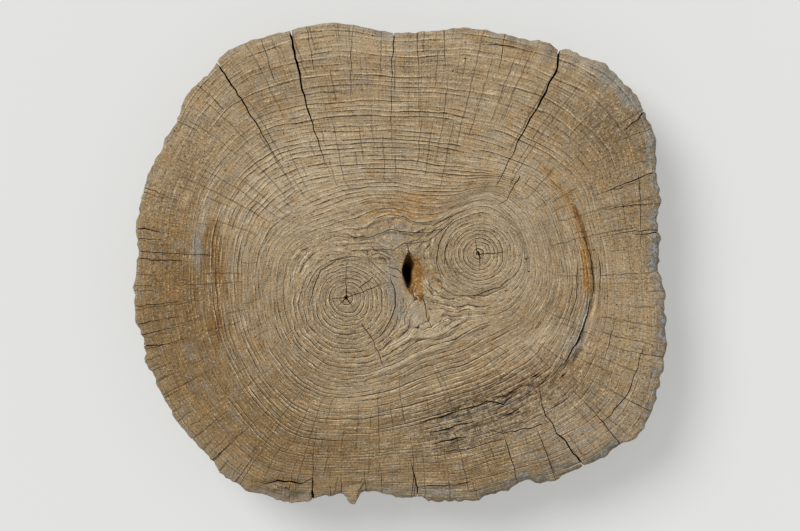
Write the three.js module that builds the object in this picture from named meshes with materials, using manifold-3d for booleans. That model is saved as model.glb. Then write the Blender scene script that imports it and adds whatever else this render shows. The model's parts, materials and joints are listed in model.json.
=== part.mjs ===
// A wood slice: one thick disc sawn across a trunk that grew from two leaders, with its bark long gone.
// Millimetres, +Z up. It lies on its flat underside, and the origin is the middle of that side's box.
import * as THREE from "three";
import Module from "manifold-3d";

// Driving dimensions
const LENGTH = 600;
const WIDTH = 540;
const THICKNESS = 90;

// Rings, counted outward from the piths
const LOBE_RING = 12;
const FUSED_RING = 15;
const SHAKE_RING = 36;
const LAST_RING = 58;
const RIDGE_HEIGHT = 0.9;
const RINGS_PER_LOOP = 1.55;

// How finely the solid is divided
const RIM_COLUMNS = 144;
const INNER_COLUMNS = 72;
const LOBE_COLUMNS = 36;
const LOBE_LOOPS = 6;
const HALVING_RING = 45;

// The middle of the hollow, which the outer rings run round
const HUB = new THREE.Vector2(10, -8);

// The widest outline seen from above, clockwise from the long check at the upper left
const OUTLINE = [
  [-121, 263], [-91, 270], [-53, 269], [-20, 262], [-3, 259], [35, 262], [79, 266], [116, 259], [150, 253],
  [173, 249], [179, 242], [188, 243], [209, 234], [232, 225], [257, 202], [272, 183], [276, 172], [288, 148],
  [290, 120], [290, 92], [295, 72], [291, 54], [294, 24], [291, -1], [299, -28], [299, -72], [300, -98],
  [293, -132], [283, -164], [267, -194], [248, -202], [224, -220], [196, -232], [158, -247], [143, -242],
  [128, -251], [86, -264], [60, -267], [21, -262], [-6, -260], [-33, -256], [-44, -257], [-51, -270],
  [-66, -258], [-96, -263], [-130, -266], [-154, -259], [-174, -254], [-200, -234], [-231, -199],
  [-256, -169], [-271, -138], [-286, -109], [-287, -92], [-297, -63], [-300, -24], [-295, 9], [-297, 46],
  [-288, 89], [-279, 112], [-253, 159], [-238, 194], [-208, 222], [-203, 233], [-180, 246], [-140, 259],
];

// The first ring that runs round both piths
const FUSED_OUTLINE = [
  [143, 3], [129, 44], [96, 71], [64, 71], [34, 57], [5, 57], [-26, 46], [-50, 36], [-93, 28], [-120, 9],
  [-128, -42], [-116, -81], [-91, -106], [-55, -116], [-17, -107], [26, -83], [51, -75], [75, -63],
  [118, -51], [142, -19],
];

// The ring along which the wood came loose and rotted on the right
const SHAKE_OUTLINE = [
  [210, 3], [212, -42], [200, -82], [179, -122], [138, -152], [73, -177], [11, -192], [-57, -200],
  [-124, -191], [-170, -146], [-203, -81], [-213, 1], [-201, 65], [-168, 110], [-130, 132], [-57, 141],
  [44, 138], [136, 114], [181, 84], [203, 32],
];

// The two leaders: where each pith is, and the oval in which rings run round that pith alone
const LEADERS = [
  { pith: [-60, -38], middle: [-56, -44], halfLength: 53, halfWidth: 53 },
  { pith: [87, 11], middle: [90, 10], halfLength: 46, halfWidth: 46 },
];

// Drying checks, each from its wide end to its tip, with its width there and its depth at both ends
const CHECKS = [
  { path: [[-123, 275], [-121, 249], [-109, 194], [-96, 150], [-76, 97]], width: 5, depth: 74, tipDepth: 4 },
  { path: [[-7, 272], [-7, 245], [-10, 212], [-10, 169]], width: 3.6, depth: 60, tipDepth: 4 },
  { path: [[-212, 236], [-196, 212], [-160, 155], [-142, 124]], width: 4, depth: 60, tipDepth: 4 },
  { path: [[180, 258], [177, 224], [140, 148], [114, 98], [108, 88]], width: 6.5, depth: 80, tipDepth: 5 },
  { path: [[284, 186], [266, 160], [250, 149]], width: 4.5, depth: 46, tipDepth: 4 },
  { path: [[304, 44], [283, 34], [262, 32]], width: 4, depth: 40, tipDepth: 3 },
  { path: [[302, 107], [268, 95], [231, 80]], width: 3, depth: 34, tipDepth: 3 },
  { path: [[219, -244], [185, -198], [170, -178], [149, -128]], width: 4.5, depth: 64, tipDepth: 5 },
  { path: [[-310, 39], [-285, 39], [-258, 33]], width: 3.6, depth: 36, tipDepth: 3 },
  { path: [[-300, 93], [-275, 81], [-259, 74]], width: 3, depth: 30, tipDepth: 3 },
  { path: [[-302, -92], [-275, -92], [-258, -90]], width: 3.6, depth: 36, tipDepth: 3 },
  { path: [[-98, -277], [-98, -255], [-97, -240]], width: 3.6, depth: 40, tipDepth: 3 },
  { path: [[21, -274], [19, -251], [14, -229], [11, -219]], width: 3.4, depth: 40, tipDepth: 3 },
  { path: [[-60, -38], [-60, -2]], width: 4, depth: 14, tipDepth: 3 },
  { path: [[-60, -38], [-12, -21]], width: 4, depth: 14, tipDepth: 3 },
  { path: [[-60, -38], [-76, -39]], width: 4, depth: 14, tipDepth: 3 },
  { path: [[-60, -38], [-40, -67]], width: 4, depth: 14, tipDepth: 3 },
  { path: [[85, 15], [84, 26]], width: 3.4, depth: 12, tipDepth: 3 },
  { path: [[86, 14], [90, 5], [88, -8]], width: 4.4, depth: 12, tipDepth: 3 },
  { path: [[88, 10], [116, 12]], width: 3, depth: 10, tipDepth: 3 },
];

// The hollow between the leaders, as outlines from its floor up to its mouth
const HOLLOW = [
  { height: 16, outline: [[8, 2], [11, -3], [12, -12], [9, -18], [6, -15], [5, -8], [5, -2]] },
  { height: 66, outline: [[9, 8], [14, 1], [17, -12], [13, -24], [8, -20], [5, -10], [5, -3]] },
  { height: 80, outline: [[9, 11], [17, 2], [22, -16], [19, -31], [10, -24], [4, -12], [4, -3]] },
  { height: 93, outline: [[10, 15], [19, 2], [29, -19], [25, -42], [12, -28], [3, -14], [2, -3]] },
];

// The worn top edge: how far it is rounded off all round, and the two stretches where the wear is deep
const EDGE_WEAR = 4;
const CORNER_WEAR = { amount: 10, angle: 45, reach: 34 };
const FLANK_WEAR = { amount: 6, angle: 0, reach: 48 };
const FOOT_WEAR = { amount: 4, angle: -72, reach: 50 };

// The flanks, with a flute on every other column
const FLUTE_DEPTH = 1.7;
const FOOT_CHAMFER = 5;

// The rotted groove along the shake ring, and the crumbled wood below it
const GROOVE = { depth: 6, angle: -28, reach: 52, halfRings: 1.6 };
const UPPER_GROOVE = { depth: 1.6, angle: 26, reach: 34, halfRings: 1.6 };
const CRUMBLED = { height: 3.4, angle: -62, reach: 48, ring: 38, halfRings: 13, grain: 16 };
const SWELL = { height: 1.6, size: 110 };
const LUMP_SEED = 437.58;

const radians = THREE.MathUtils.degToRad;

// A smooth random field from -1 to 1, whose lumps lie about `size` apart
function lumps(x, y, size) {
  const corner = (i, j) => {
    const wave = LUMP_SEED * Math.sin(12.9898 * i + 78.233 * j);
    return 2 * (wave - Math.floor(wave)) - 1;
  };
  const [u, v] = [x / size, y / size];
  const [i, j] = [Math.floor(u), Math.floor(v)];
  const s = THREE.MathUtils.smoothstep(u - i, 0, 1);
  const t = THREE.MathUtils.smoothstep(v - j, 0, 1);
  const near = THREE.MathUtils.lerp(corner(i, j), corner(i + 1, j), s);
  const far = THREE.MathUtils.lerp(corner(i, j + 1), corner(i + 1, j + 1), s);
  return THREE.MathUtils.lerp(near, far, t);
}

// 1 in the middle of a patch, falling smoothly to 0 at its reach on both sides
function fade(distance, reach) {
  return 1 - THREE.MathUtils.smoothstep(Math.abs(distance), 0, reach);
}

// The same for an angle about the hub, given in radians against a patch in degrees
function around(phi, patch) {
  const apart = Math.atan2(Math.sin(phi - radians(patch.angle)), Math.cos(phi - radians(patch.angle)));
  return fade(apart, radians(patch.reach));
}

// Turns a closed outline into its radius about the hub, as a function of the angle
function radiusAbout(points) {
  const curve = new THREE.CatmullRomCurve3(points.map(([x, y]) => new THREE.Vector3(x, y, 0)), true);
  const samples = curve.getPoints(points.length * 12).slice(1).map((p) => ({
    angle: Math.atan2(p.y - HUB.y, p.x - HUB.x),
    radius: Math.hypot(p.x - HUB.x, p.y - HUB.y),
  }));
  samples.sort((a, b) => a.angle - b.angle);
  const [first, last] = [samples[0], samples[samples.length - 1]];
  samples.push({ angle: first.angle + 2 * Math.PI, radius: first.radius });
  samples.unshift({ angle: last.angle - 2 * Math.PI, radius: last.radius });
  return (phi) => {
    const angle = Math.atan2(Math.sin(phi), Math.cos(phi));
    const next = samples.findIndex((sample) => sample.angle >= angle);
    const [a, b] = [samples[Math.max(next, 1) - 1], samples[Math.max(next, 1)]];
    const share = (angle - a.angle) / (b.angle - a.angle || 1);
    return THREE.MathUtils.lerp(a.radius, b.radius, share);
  };
}

const outlineRadius = radiusAbout(OUTLINE);
const fusedRadius = radiusAbout(FUSED_OUTLINE);
const shakeRadius = radiusAbout(SHAKE_OUTLINE);

// How far the top edge is worn in from the widest outline
function edgeWear(phi) {
  return (
    EDGE_WEAR +
    CORNER_WEAR.amount * around(phi, CORNER_WEAR) +
    FLANK_WEAR.amount * around(phi, FLANK_WEAR) +
    FOOT_WEAR.amount * around(phi, FOOT_WEAR)
  );
}

// The radius of a ring on the top face
function ringRadius(phi, ring) {
  if (ring <= SHAKE_RING) {
    const share = (ring - FUSED_RING) / (SHAKE_RING - FUSED_RING);
    return THREE.MathUtils.lerp(fusedRadius(phi), shakeRadius(phi), share);
  }
  const share = (ring - SHAKE_RING) / (LAST_RING - SHAKE_RING);
  return THREE.MathUtils.lerp(shakeRadius(phi), outlineRadius(phi) - edgeWear(phi), share);
}

// The height of the top face, without the ridges of its rings
function faceHeight(x, y, phi, ring) {
  const grooves = [GROOVE, UPPER_GROOVE].map((groove) => {
    return groove.depth * around(phi, groove) * fade(ring - SHAKE_RING, groove.halfRings);
  });
  const crumbled = around(phi, CRUMBLED) * fade(ring - CRUMBLED.ring, CRUMBLED.halfRings);
  const crumbs = CRUMBLED.height * crumbled * (lumps(x, y, CRUMBLED.grain) - 0.5);
  return THICKNESS + SWELL.height * lumps(x, y, SWELL.size) + crumbs - grooves[0] - grooves[1];
}

// A closed skin that is sewn together from loops of points, from the middle of the underside upwards
class Skin {
  constructor() {
    this.positions = [];
    this.faces = [];
  }

  point(x, y, z) {
    this.positions.push(x, y, z);
    return this.positions.length / 3 - 1;
  }

  // Sews a loop to the next, which has as many points or half as many
  sew(loop, next) {
    const halved = next.length * 2 === loop.length;
    next.forEach((point, i) => {
      const after = next[(i + 1) % next.length];
      if (halved) {
        const [a, b, c] = [loop[2 * i], loop[2 * i + 1], loop[(2 * i + 2) % loop.length]];
        this.faces.push(a, b, point, b, c, after, b, after, point);
      } else {
        const [a, b] = [loop[i], loop[(i + 1) % loop.length]];
        this.faces.push(a, b, after, a, after, point);
      }
    });
  }

  // Closes a loop to a single point above it
  cap(loop, tip) {
    loop.forEach((point, i) => this.faces.push(point, loop[(i + 1) % loop.length], tip));
  }

  // Fills the area between an outer loop and the loops that lie inside it, facing up
  fill(outer, holes) {
    const corner = (i) => new THREE.Vector2(this.positions[3 * i], this.positions[3 * i + 1]);
    const flat = (loop) => loop.map(corner);
    const all = [outer, ...holes].flat();
    const flatAll = flat(all);
    for (const face of THREE.ShapeUtils.triangulateShape(flat(outer), holes.map(flat))) {
      const facesUp = THREE.ShapeUtils.area(face.map((i) => flatAll[i])) > 0;
      const [a, b, c] = face.map((i) => all[i]);
      this.faces.push(...(facesUp ? [a, b, c] : [a, c, b]));
    }
  }

  // Scales the skin a little, so that its box has exactly the driving dimensions
  fitToBox() {
    const box = new THREE.Box3().setFromArray(this.positions);
    const size = box.getSize(new THREE.Vector3());
    const middle = box.getCenter(new THREE.Vector3());
    for (let i = 0; i < this.positions.length; i += 3) {
      this.positions[i] = ((this.positions[i] - middle.x) * LENGTH) / size.x;
      this.positions[i + 1] = ((this.positions[i + 1] - middle.y) * WIDTH) / size.y;
      this.positions[i + 2] = ((this.positions[i + 2] - box.min.z) * THICKNESS) / size.z;
    }
  }
}

// The flanks, as loops from the underside to the top edge: a height, and how far in from the outline
function flankLoops(phi) {
  const wear = edgeWear(phi);
  return [
    { height: 0, inset: FOOT_CHAMFER },
    { height: 0.7 * FOOT_CHAMFER, inset: 0.3 * FOOT_CHAMFER },
    { height: 0.3 * THICKNESS, inset: 1 },
    { height: THICKNESS - 1.2 * wear - 12, inset: 0 },
    { height: THICKNESS - 0.55 * wear - 1, inset: 0.28 * wear },
  ];
}

function addFlanks(skin) {
  const loops = flankLoops(0).map(() => []);
  for (let column = 0; column < RIM_COLUMNS; column++) {
    const phi = (2 * Math.PI * column) / RIM_COLUMNS;
    flankLoops(phi).forEach(({ height, inset }, level) => {
      const wander = lumps(40 * phi, 0.12 * height, 1);
      const flute = FLUTE_DEPTH * (column % 2) * (1 + 0.6 * wander);
      const radius = outlineRadius(phi) - inset - flute;
      loops[level].push(skin.point(HUB.x + radius * Math.cos(phi), HUB.y + radius * Math.sin(phi), height));
    });
  }
  const below = skin.point(HUB.x, HUB.y, 0);
  const foot = loops[0];
  foot.forEach((point, i) => skin.faces.push(foot[(i + 1) % foot.length], point, below));
  loops.slice(1).forEach((loop, i) => skin.sew(loops[i], loop));
  return loops[loops.length - 1];
}

// The top face from its edge in to the first ring round both piths, with a ridge on every other loop.
// Inside that ring the wood between the leaders has no rings of its own and lies smooth.
function addOuterRings(skin, edge) {
  const count = Math.round((LAST_RING - FUSED_RING) / RINGS_PER_LOOP);
  let outer = edge;
  for (let loop = 0; loop <= count; loop++) {
    const ring = THREE.MathUtils.lerp(LAST_RING, FUSED_RING, loop / count);
    const columns = ring > HALVING_RING ? RIM_COLUMNS : INNER_COLUMNS;
    const ridge = loop === count ? 0 : RIDGE_HEIGHT * (loop % 2 ? -1 : 1);
    const points = [];
    for (let column = 0; column < columns; column++) {
      const phi = (2 * Math.PI * column) / columns;
      const radius = ringRadius(phi, ring);
      const [x, y] = [HUB.x + radius * Math.cos(phi), HUB.y + radius * Math.sin(phi)];
      const worn = loop === 0 ? 0.12 * edgeWear(phi) + RIDGE_HEIGHT : 0;
      points.push(skin.point(x, y, faceHeight(x, y, phi, ring) + ridge - worn));
    }
    skin.sew(outer, points);
    outer = points;
  }
  return outer;
}

// Adds the rings that run round one pith alone, and returns the outermost of them
function addLeader(skin, leader) {
  const loops = [];
  for (let loop = LOBE_LOOPS; loop > 0; loop--) {
    const share = loop / LOBE_LOOPS;
    const points = [];
    for (let column = 0; column < LOBE_COLUMNS; column++) {
      const phi = (2 * Math.PI * column) / LOBE_COLUMNS;
      const rim = [
        leader.middle[0] + leader.halfLength * Math.cos(phi),
        leader.middle[1] + leader.halfWidth * Math.sin(phi),
      ];
      const x = THREE.MathUtils.lerp(leader.pith[0], rim[0], share);
      const y = THREE.MathUtils.lerp(leader.pith[1], rim[1], share);
      const ridge = loop === LOBE_LOOPS ? 0 : RIDGE_HEIGHT * (loop % 2 ? 1 : -1);
      points.push(skin.point(x, y, faceHeight(x, y, phi, share * LOBE_RING) + ridge));
    }
    loops.push(points);
  }
  loops.slice(1).forEach((points, i) => skin.sew(loops[i], points));
  const [x, y] = leader.pith;
  skin.cap(loops[loops.length - 1], skin.point(x, y, faceHeight(x, y, 0, 0)));
  return loops[0];
}

// The whole slice before it dried, cracked and rotted
function sawnDisc() {
  const skin = new Skin();
  const edge = addFlanks(skin);
  const fused = addOuterRings(skin, edge);
  skin.fill(fused, LEADERS.map((leader) => addLeader(skin, leader)));
  skin.fitToBox();
  return skin;
}

// A closed solid through a row of outlines with as many corners each
function loft(outlines) {
  const skin = new Skin();
  const loops = outlines.map((outline) => outline.map((corner) => skin.point(...corner)));
  loops.slice(1).forEach((loop, i) => skin.sew(loops[i], loop));
  const [start, end] = [loops[0], loops[loops.length - 1]];
  for (let i = 1; i < start.length - 1; i++) {
    skin.faces.push(start[0], start[i + 1], start[i]);
    skin.faces.push(end[0], end[i], end[i + 1]);
  }
  return skin;
}

// The room that one check opens: a wedge along its path, which narrows and rises towards the tip
function checkRoom({ path, width, depth, tipDepth }) {
  const above = THICKNESS + 6;
  const outlines = path.map(([x, y], i) => {
    const before = path[Math.max(i - 1, 0)];
    const after = path[Math.min(i + 1, path.length - 1)];
    const along = new THREE.Vector2(after[0] - before[0], after[1] - before[1]).normalize();
    const share = i / (path.length - 1);
    const half = THREE.MathUtils.lerp(width, 0.8, share) / 2;
    const keel = THICKNESS - THREE.MathUtils.lerp(depth, tipDepth, Math.sqrt(share));
    return [
      [x + along.y * half, y - along.x * half, above],
      [x, y, keel],
      [x - along.y * half, y + along.x * half, above],
    ];
  });
  return loft(outlines);
}

// The hollow's outlines are listed clockwise, and a loft that rises needs them the other way round
function hollowRoom() {
  return loft(HOLLOW.map(({ height, outline }) => outline.map(([x, y]) => [x, y, height]).reverse()));
}

const wasm = await Module();
wasm.setup();

function solid(skin) {
  const mesh = new wasm.Mesh({
    numProp: 3,
    vertProperties: new Float32Array(skin.positions),
    triVerts: new Uint32Array(skin.faces),
  });
  return new wasm.Manifold(mesh);
}

// Cuts the checks and the hollow, and keeps the one large body where a cut frees a crumb
function weathered(disc) {
  let body = solid(disc);
  for (const room of [...CHECKS.map(checkRoom), hollowRoom()]) {
    body = body.subtract(solid(room));
  }
  const pieces = body.decompose().sort((a, b) => b.volume() - a.volume());
  const mesh = pieces[0].getMesh();
  const geometry = new THREE.BufferGeometry();
  geometry.setAttribute("position", new THREE.BufferAttribute(mesh.vertProperties, mesh.numProp));
  geometry.setIndex(new THREE.BufferAttribute(mesh.triVerts, 1));
  geometry.computeVertexNormals();
  return geometry;
}

const weatheredWood = new THREE.MeshStandardMaterial({ color: 0x93805f, roughness: 0.9, metalness: 0 });

const slice = new THREE.Mesh(weathered(sawnDisc()), weatheredWood);
slice.name = "wood_slice";

const part = new THREE.Group();
part.add(slice);

export default part;
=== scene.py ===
"""A weathered wood slice: a thick disc sawn across a trunk that grew from two leaders.

The slice is one closed skin. A straight profile is spun into a disc of loops, and each loop is then moved to
its place: up the wall of the hollow, out along the growth rings, over the worn edge, down the fluted flank
and in under the sawn underside. Drying checks and pinholes are cut into it afterwards. The finish follows the
growth rings and the wood rays through attributes that the skin carries.

Lengths in the wood's own classes are millimetres, and are turned into metres when a mesh is made.
"""

import json
import logging
import math
from dataclasses import dataclass, field
from enum import Enum, IntEnum
from typing import Sequence

import bmesh
import bpy
import numpy as np
from mathutils import Matrix, Vector

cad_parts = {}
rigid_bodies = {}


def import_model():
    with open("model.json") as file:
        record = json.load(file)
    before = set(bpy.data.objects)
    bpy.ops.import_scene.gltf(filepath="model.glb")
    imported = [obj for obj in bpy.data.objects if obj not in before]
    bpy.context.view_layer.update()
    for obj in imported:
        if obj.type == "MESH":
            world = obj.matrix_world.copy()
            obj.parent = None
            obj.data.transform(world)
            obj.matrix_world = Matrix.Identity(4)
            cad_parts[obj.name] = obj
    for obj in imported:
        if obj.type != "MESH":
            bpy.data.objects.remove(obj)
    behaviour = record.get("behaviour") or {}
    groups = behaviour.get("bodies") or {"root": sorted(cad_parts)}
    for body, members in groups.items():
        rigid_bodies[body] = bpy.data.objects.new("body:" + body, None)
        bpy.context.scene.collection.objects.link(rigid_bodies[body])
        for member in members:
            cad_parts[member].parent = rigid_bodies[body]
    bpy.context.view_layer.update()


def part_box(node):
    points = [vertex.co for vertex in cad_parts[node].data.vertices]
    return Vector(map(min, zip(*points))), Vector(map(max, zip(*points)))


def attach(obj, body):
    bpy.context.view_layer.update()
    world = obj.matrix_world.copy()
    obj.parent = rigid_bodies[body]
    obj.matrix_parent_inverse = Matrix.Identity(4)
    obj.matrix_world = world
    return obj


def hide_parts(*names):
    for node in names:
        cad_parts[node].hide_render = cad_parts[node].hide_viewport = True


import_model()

LOG = logging.getLogger("wood_slice")

MM = 0.001
SHARP_ANGLE = 42.0
NODE = "wood_slice"
SLOT = "weathered_wood"
BODY = "root"

Point = tuple[float, float]
Path = tuple[Point, ...]
Colour = tuple[int, int, int]
Array = np.ndarray

# The widest outline seen from above, clockwise from the long check at the upper left
OUTLINE: Path = (
    (-121, 263), (-91, 270), (-53, 269), (-20, 262), (-3, 259), (35, 262), (79, 266), (116, 259),
    (150, 253), (173, 249), (179, 242), (188, 243), (209, 234), (232, 225), (257, 202), (272, 183),
    (276, 172), (288, 148), (290, 120), (290, 92), (295, 72), (291, 54), (294, 24), (291, -1), (299, -28),
    (299, -72), (300, -98), (293, -132), (283, -164), (267, -194), (248, -202), (224, -220), (196, -232),
    (158, -247), (143, -242), (128, -251), (86, -264), (60, -267), (21, -262), (-6, -260), (-33, -256),
    (-44, -257), (-48, -269), (-57, -270), (-61, -260), (-70, -258), (-96, -263), (-130, -266),
    (-154, -259), (-174, -254), (-200, -234), (-231, -199), (-256, -169), (-271, -138), (-286, -109),
    (-287, -92), (-297, -63), (-300, -24), (-295, 9), (-297, 46), (-288, 89), (-279, 112), (-253, 159),
    (-238, 194), (-208, 222), (-203, 233), (-180, 246), (-140, 259),
)

# The first ring that runs round both piths
FUSED_OUTLINE: Path = (
    (143, 3), (129, 44), (96, 70), (66, 62), (39, 47), (15, 44), (3, 50), (-20, 50), (-38, 40), (-62, 36),
    (-93, 28), (-120, 9), (-128, -42), (-116, -81), (-91, -106), (-55, -116), (-17, -107), (26, -83),
    (51, -75), (75, -63), (118, -51), (142, -19),
)

# The ring along which the wood came loose and rotted on the right
SHAKE_OUTLINE: Path = (
    (210, 3), (212, -42), (200, -82), (179, -122), (138, -152), (73, -177), (11, -192), (-57, -200),
    (-124, -191), (-170, -146), (-203, -81), (-213, 1), (-201, 65), (-168, 110), (-130, 132), (-57, 141),
    (44, 138), (136, 114), (181, 84), (203, 32),
)


class Stain(Enum):
    """What weather or growth does to a patch of the face. The first three are the parts of one attribute."""

    GREY = 0
    AMBER = 1
    BROWN = 2
    PALE = 3
    SMOOTH = 4
    ROUGH = 5


class Surface(IntEnum):
    """The surfaces that the skin's loops lie on, from the floor of the hollow outwards and under."""

    WALL = 0
    CORE = 1
    RINGS = 2
    SHOULDER = 3
    FLANK = 4
    UNDERSIDE = 5


@dataclass(frozen=True)
class Patch:
    """A soft oval patch of one stain on the ringed face, in millimetres and degrees."""

    middle: Point
    half_size: Point
    turn: float
    strength: float


@dataclass(frozen=True)
class Streak:
    """A soft band of one stain along a path on the ringed face."""

    path: Path
    reach: float
    strength: float


@dataclass(frozen=True)
class Check:
    """A drying check: its path from the wide end to the tip, its width there and how deep it goes."""

    path: Path
    width: float
    depth: float
    tip_depth: float = 3.0
    tapers_both_ways: bool = False

    @classmethod
    def along(cls, path: Path, width: float, depth: float, tip_depth: float = 2.0) -> "Check":
        """A crack along the grain, widest in its middle and closed at both ends."""
        return cls(path, width, depth, tip_depth, tapers_both_ways=True)


@dataclass(frozen=True)
class Band:
    """A ridge or a groove that follows a path on the ringed face, with a drop along one side of it."""

    path: Path
    reach: float
    rise: float
    drop: float = 0.0
    crumble: float = 0.0


@dataclass(frozen=True)
class Leader:
    """One of the two stems that grew together: its pith and the oval of rings round that pith alone."""

    pith: Point
    middle: Point
    half_size: Point


def fade(distance: Array, reach: float) -> Array:
    """Gives 1 in the middle of a patch, falling smoothly to 0 at its reach on both sides."""
    share = np.clip(np.abs(distance) / reach, 0.0, 1.0)
    return 1.0 - share * share * (3.0 - 2.0 * share)


def step(value: Array, low: float, high: float) -> Array:
    """Rises smoothly from 0 at low to 1 at high."""
    share = np.clip((value - low) / (high - low), 0.0, 1.0)
    return share * share * (3.0 - 2.0 * share)


def angle_apart(phi: Array, degrees: float) -> Array:
    """The angle between phi and a bearing in degrees, in degrees, from -180 to 180."""
    return (np.degrees(phi) - degrees + 180.0) % 360.0 - 180.0


@dataclass(frozen=True)
class Arc:
    """A stretch of bearings about the hub, in degrees, that fades out to both sides of its middle."""

    bearing: float
    reach: float

    def share(self, phi: Array) -> Array:
        """1 in the middle of the arc, falling to 0 at its ends."""
        return fade(angle_apart(phi, self.bearing), self.reach)


@dataclass(frozen=True)
class Wear:
    """A stretch of the rim where the edge is rounded off, and by how many millimetres more."""

    amount: float
    arc: Arc


@dataclass(frozen=True)
class Zone:
    """A stretch of the rings that fades out along them and across them."""

    arc: Arc
    ring: float
    width: float
    strength: float = 1.0

    def share(self, phi: Array, ring: Array) -> Array:
        """The zone's strength in its middle, falling to 0 at its ends."""
        return self.strength * (self.arc.share(phi) * fade(ring - self.ring, self.width))


class Lumps:
    """Smooth seeded noise from -1 to 1, in one to three dimensions."""

    PRIMES = (73856093, 19349663, 83492791)
    TABLE = 8192

    def __init__(self, seed: int) -> None:
        """Draws the table of corner values.

        Args:
            seed: The seed of the draw.
        """
        self.table = np.random.default_rng(seed).uniform(-1.0, 1.0, self.TABLE)

    def __call__(self, *axes: Array) -> Array:
        """Reads the noise.

        Args:
            axes: One array for each dimension, in units of one lump.

        Returns:
            The noise at each point.
        """
        corners = [np.floor(axis).astype(np.int64) for axis in axes]
        shares = [axis - corner for axis, corner in zip(axes, corners)]
        shares = [share * share * (3.0 - 2.0 * share) for share in shares]
        total = np.zeros(np.broadcast(*axes).shape)
        for bits in range(2 ** len(axes)):
            weight = 1.0
            code = 0
            for axis, (corner, share) in enumerate(zip(corners, shares)):
                far = (bits >> axis) & 1
                weight = weight * (share if far else 1.0 - share)
                code = code ^ ((corner + far) * self.PRIMES[axis])
            total = total + weight * self.table[code % self.TABLE]
        return total


def closed_curve(points: Sequence[Point], per_span: int = 16) -> Array:
    """Runs a smooth closed curve through a few points.

    Args:
        points: The points, in order round the curve.
        per_span: How many samples each span gets.

    Returns:
        The samples, one row each.
    """
    knots = np.array(points, float)
    before, here, after, beyond = (np.roll(knots, shift, 0) for shift in (1, 0, -1, -2))
    spans = ((before, here), (here, after), (after, beyond))
    gaps = [np.sqrt(np.linalg.norm(b - a, axis=1))[:, None] for a, b in spans]
    start = (here - before) / gaps[0] - (after - before) / (gaps[0] + gaps[1]) + (after - here) / gaps[1]
    end = (after - here) / gaps[1] - (beyond - here) / (gaps[1] + gaps[2]) + (beyond - after) / gaps[2]
    start, end = start * gaps[1], end * gaps[1]
    rows = []
    for t in np.arange(per_span) / per_span:
        near = (2 * t**3 - 3 * t**2 + 1) * here + (t**3 - 2 * t**2 + t) * start
        rows.append(near + (3 * t**2 - 2 * t**3) * after + (t**3 - t**2) * end)
    return np.stack(rows, 1).reshape(-1, 2)


# Paths that more than one mark follows
LEFT_PITH_RING = ((-101, -47), (-98, -30), (-89, -8), (-71, 4), (-55, 8))
LEFT_CORE_EDGE = ((-11, -15), (-5, -30), (-5, -47), (-11, -64), (-21, -80))
RIGHT_CORE_EDGE = ((52, 38), (43, 21), (41, 1), (46, -17))
RIGHT_CORE_FOOT = ((48, -27), (61, -36), (84, -36), (112, -26), (131, -10))
UPPER_WAVE = ((-74, 38), (-38, 42), (-20, 52), (5, 54), (15, 47), (40, 48), (62, 58), (87, 72))
INNER_WAVE = ((-74, 30), (-31, 30), (-12, 38), (11, 34), (31, 34), (47, 39))
LOWER_WAVE = ((-3, -88), (16, -81), (44, -80), (60, -72), (68, -64), (83, -55))
PALE_RING = ((-79, 127), (-130, 112), (-169, 90), (-188, 65), (-199, 35))
OUTER_PALE_RING = ((-201, 105), (-218, 71), (-221, 35))

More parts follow.
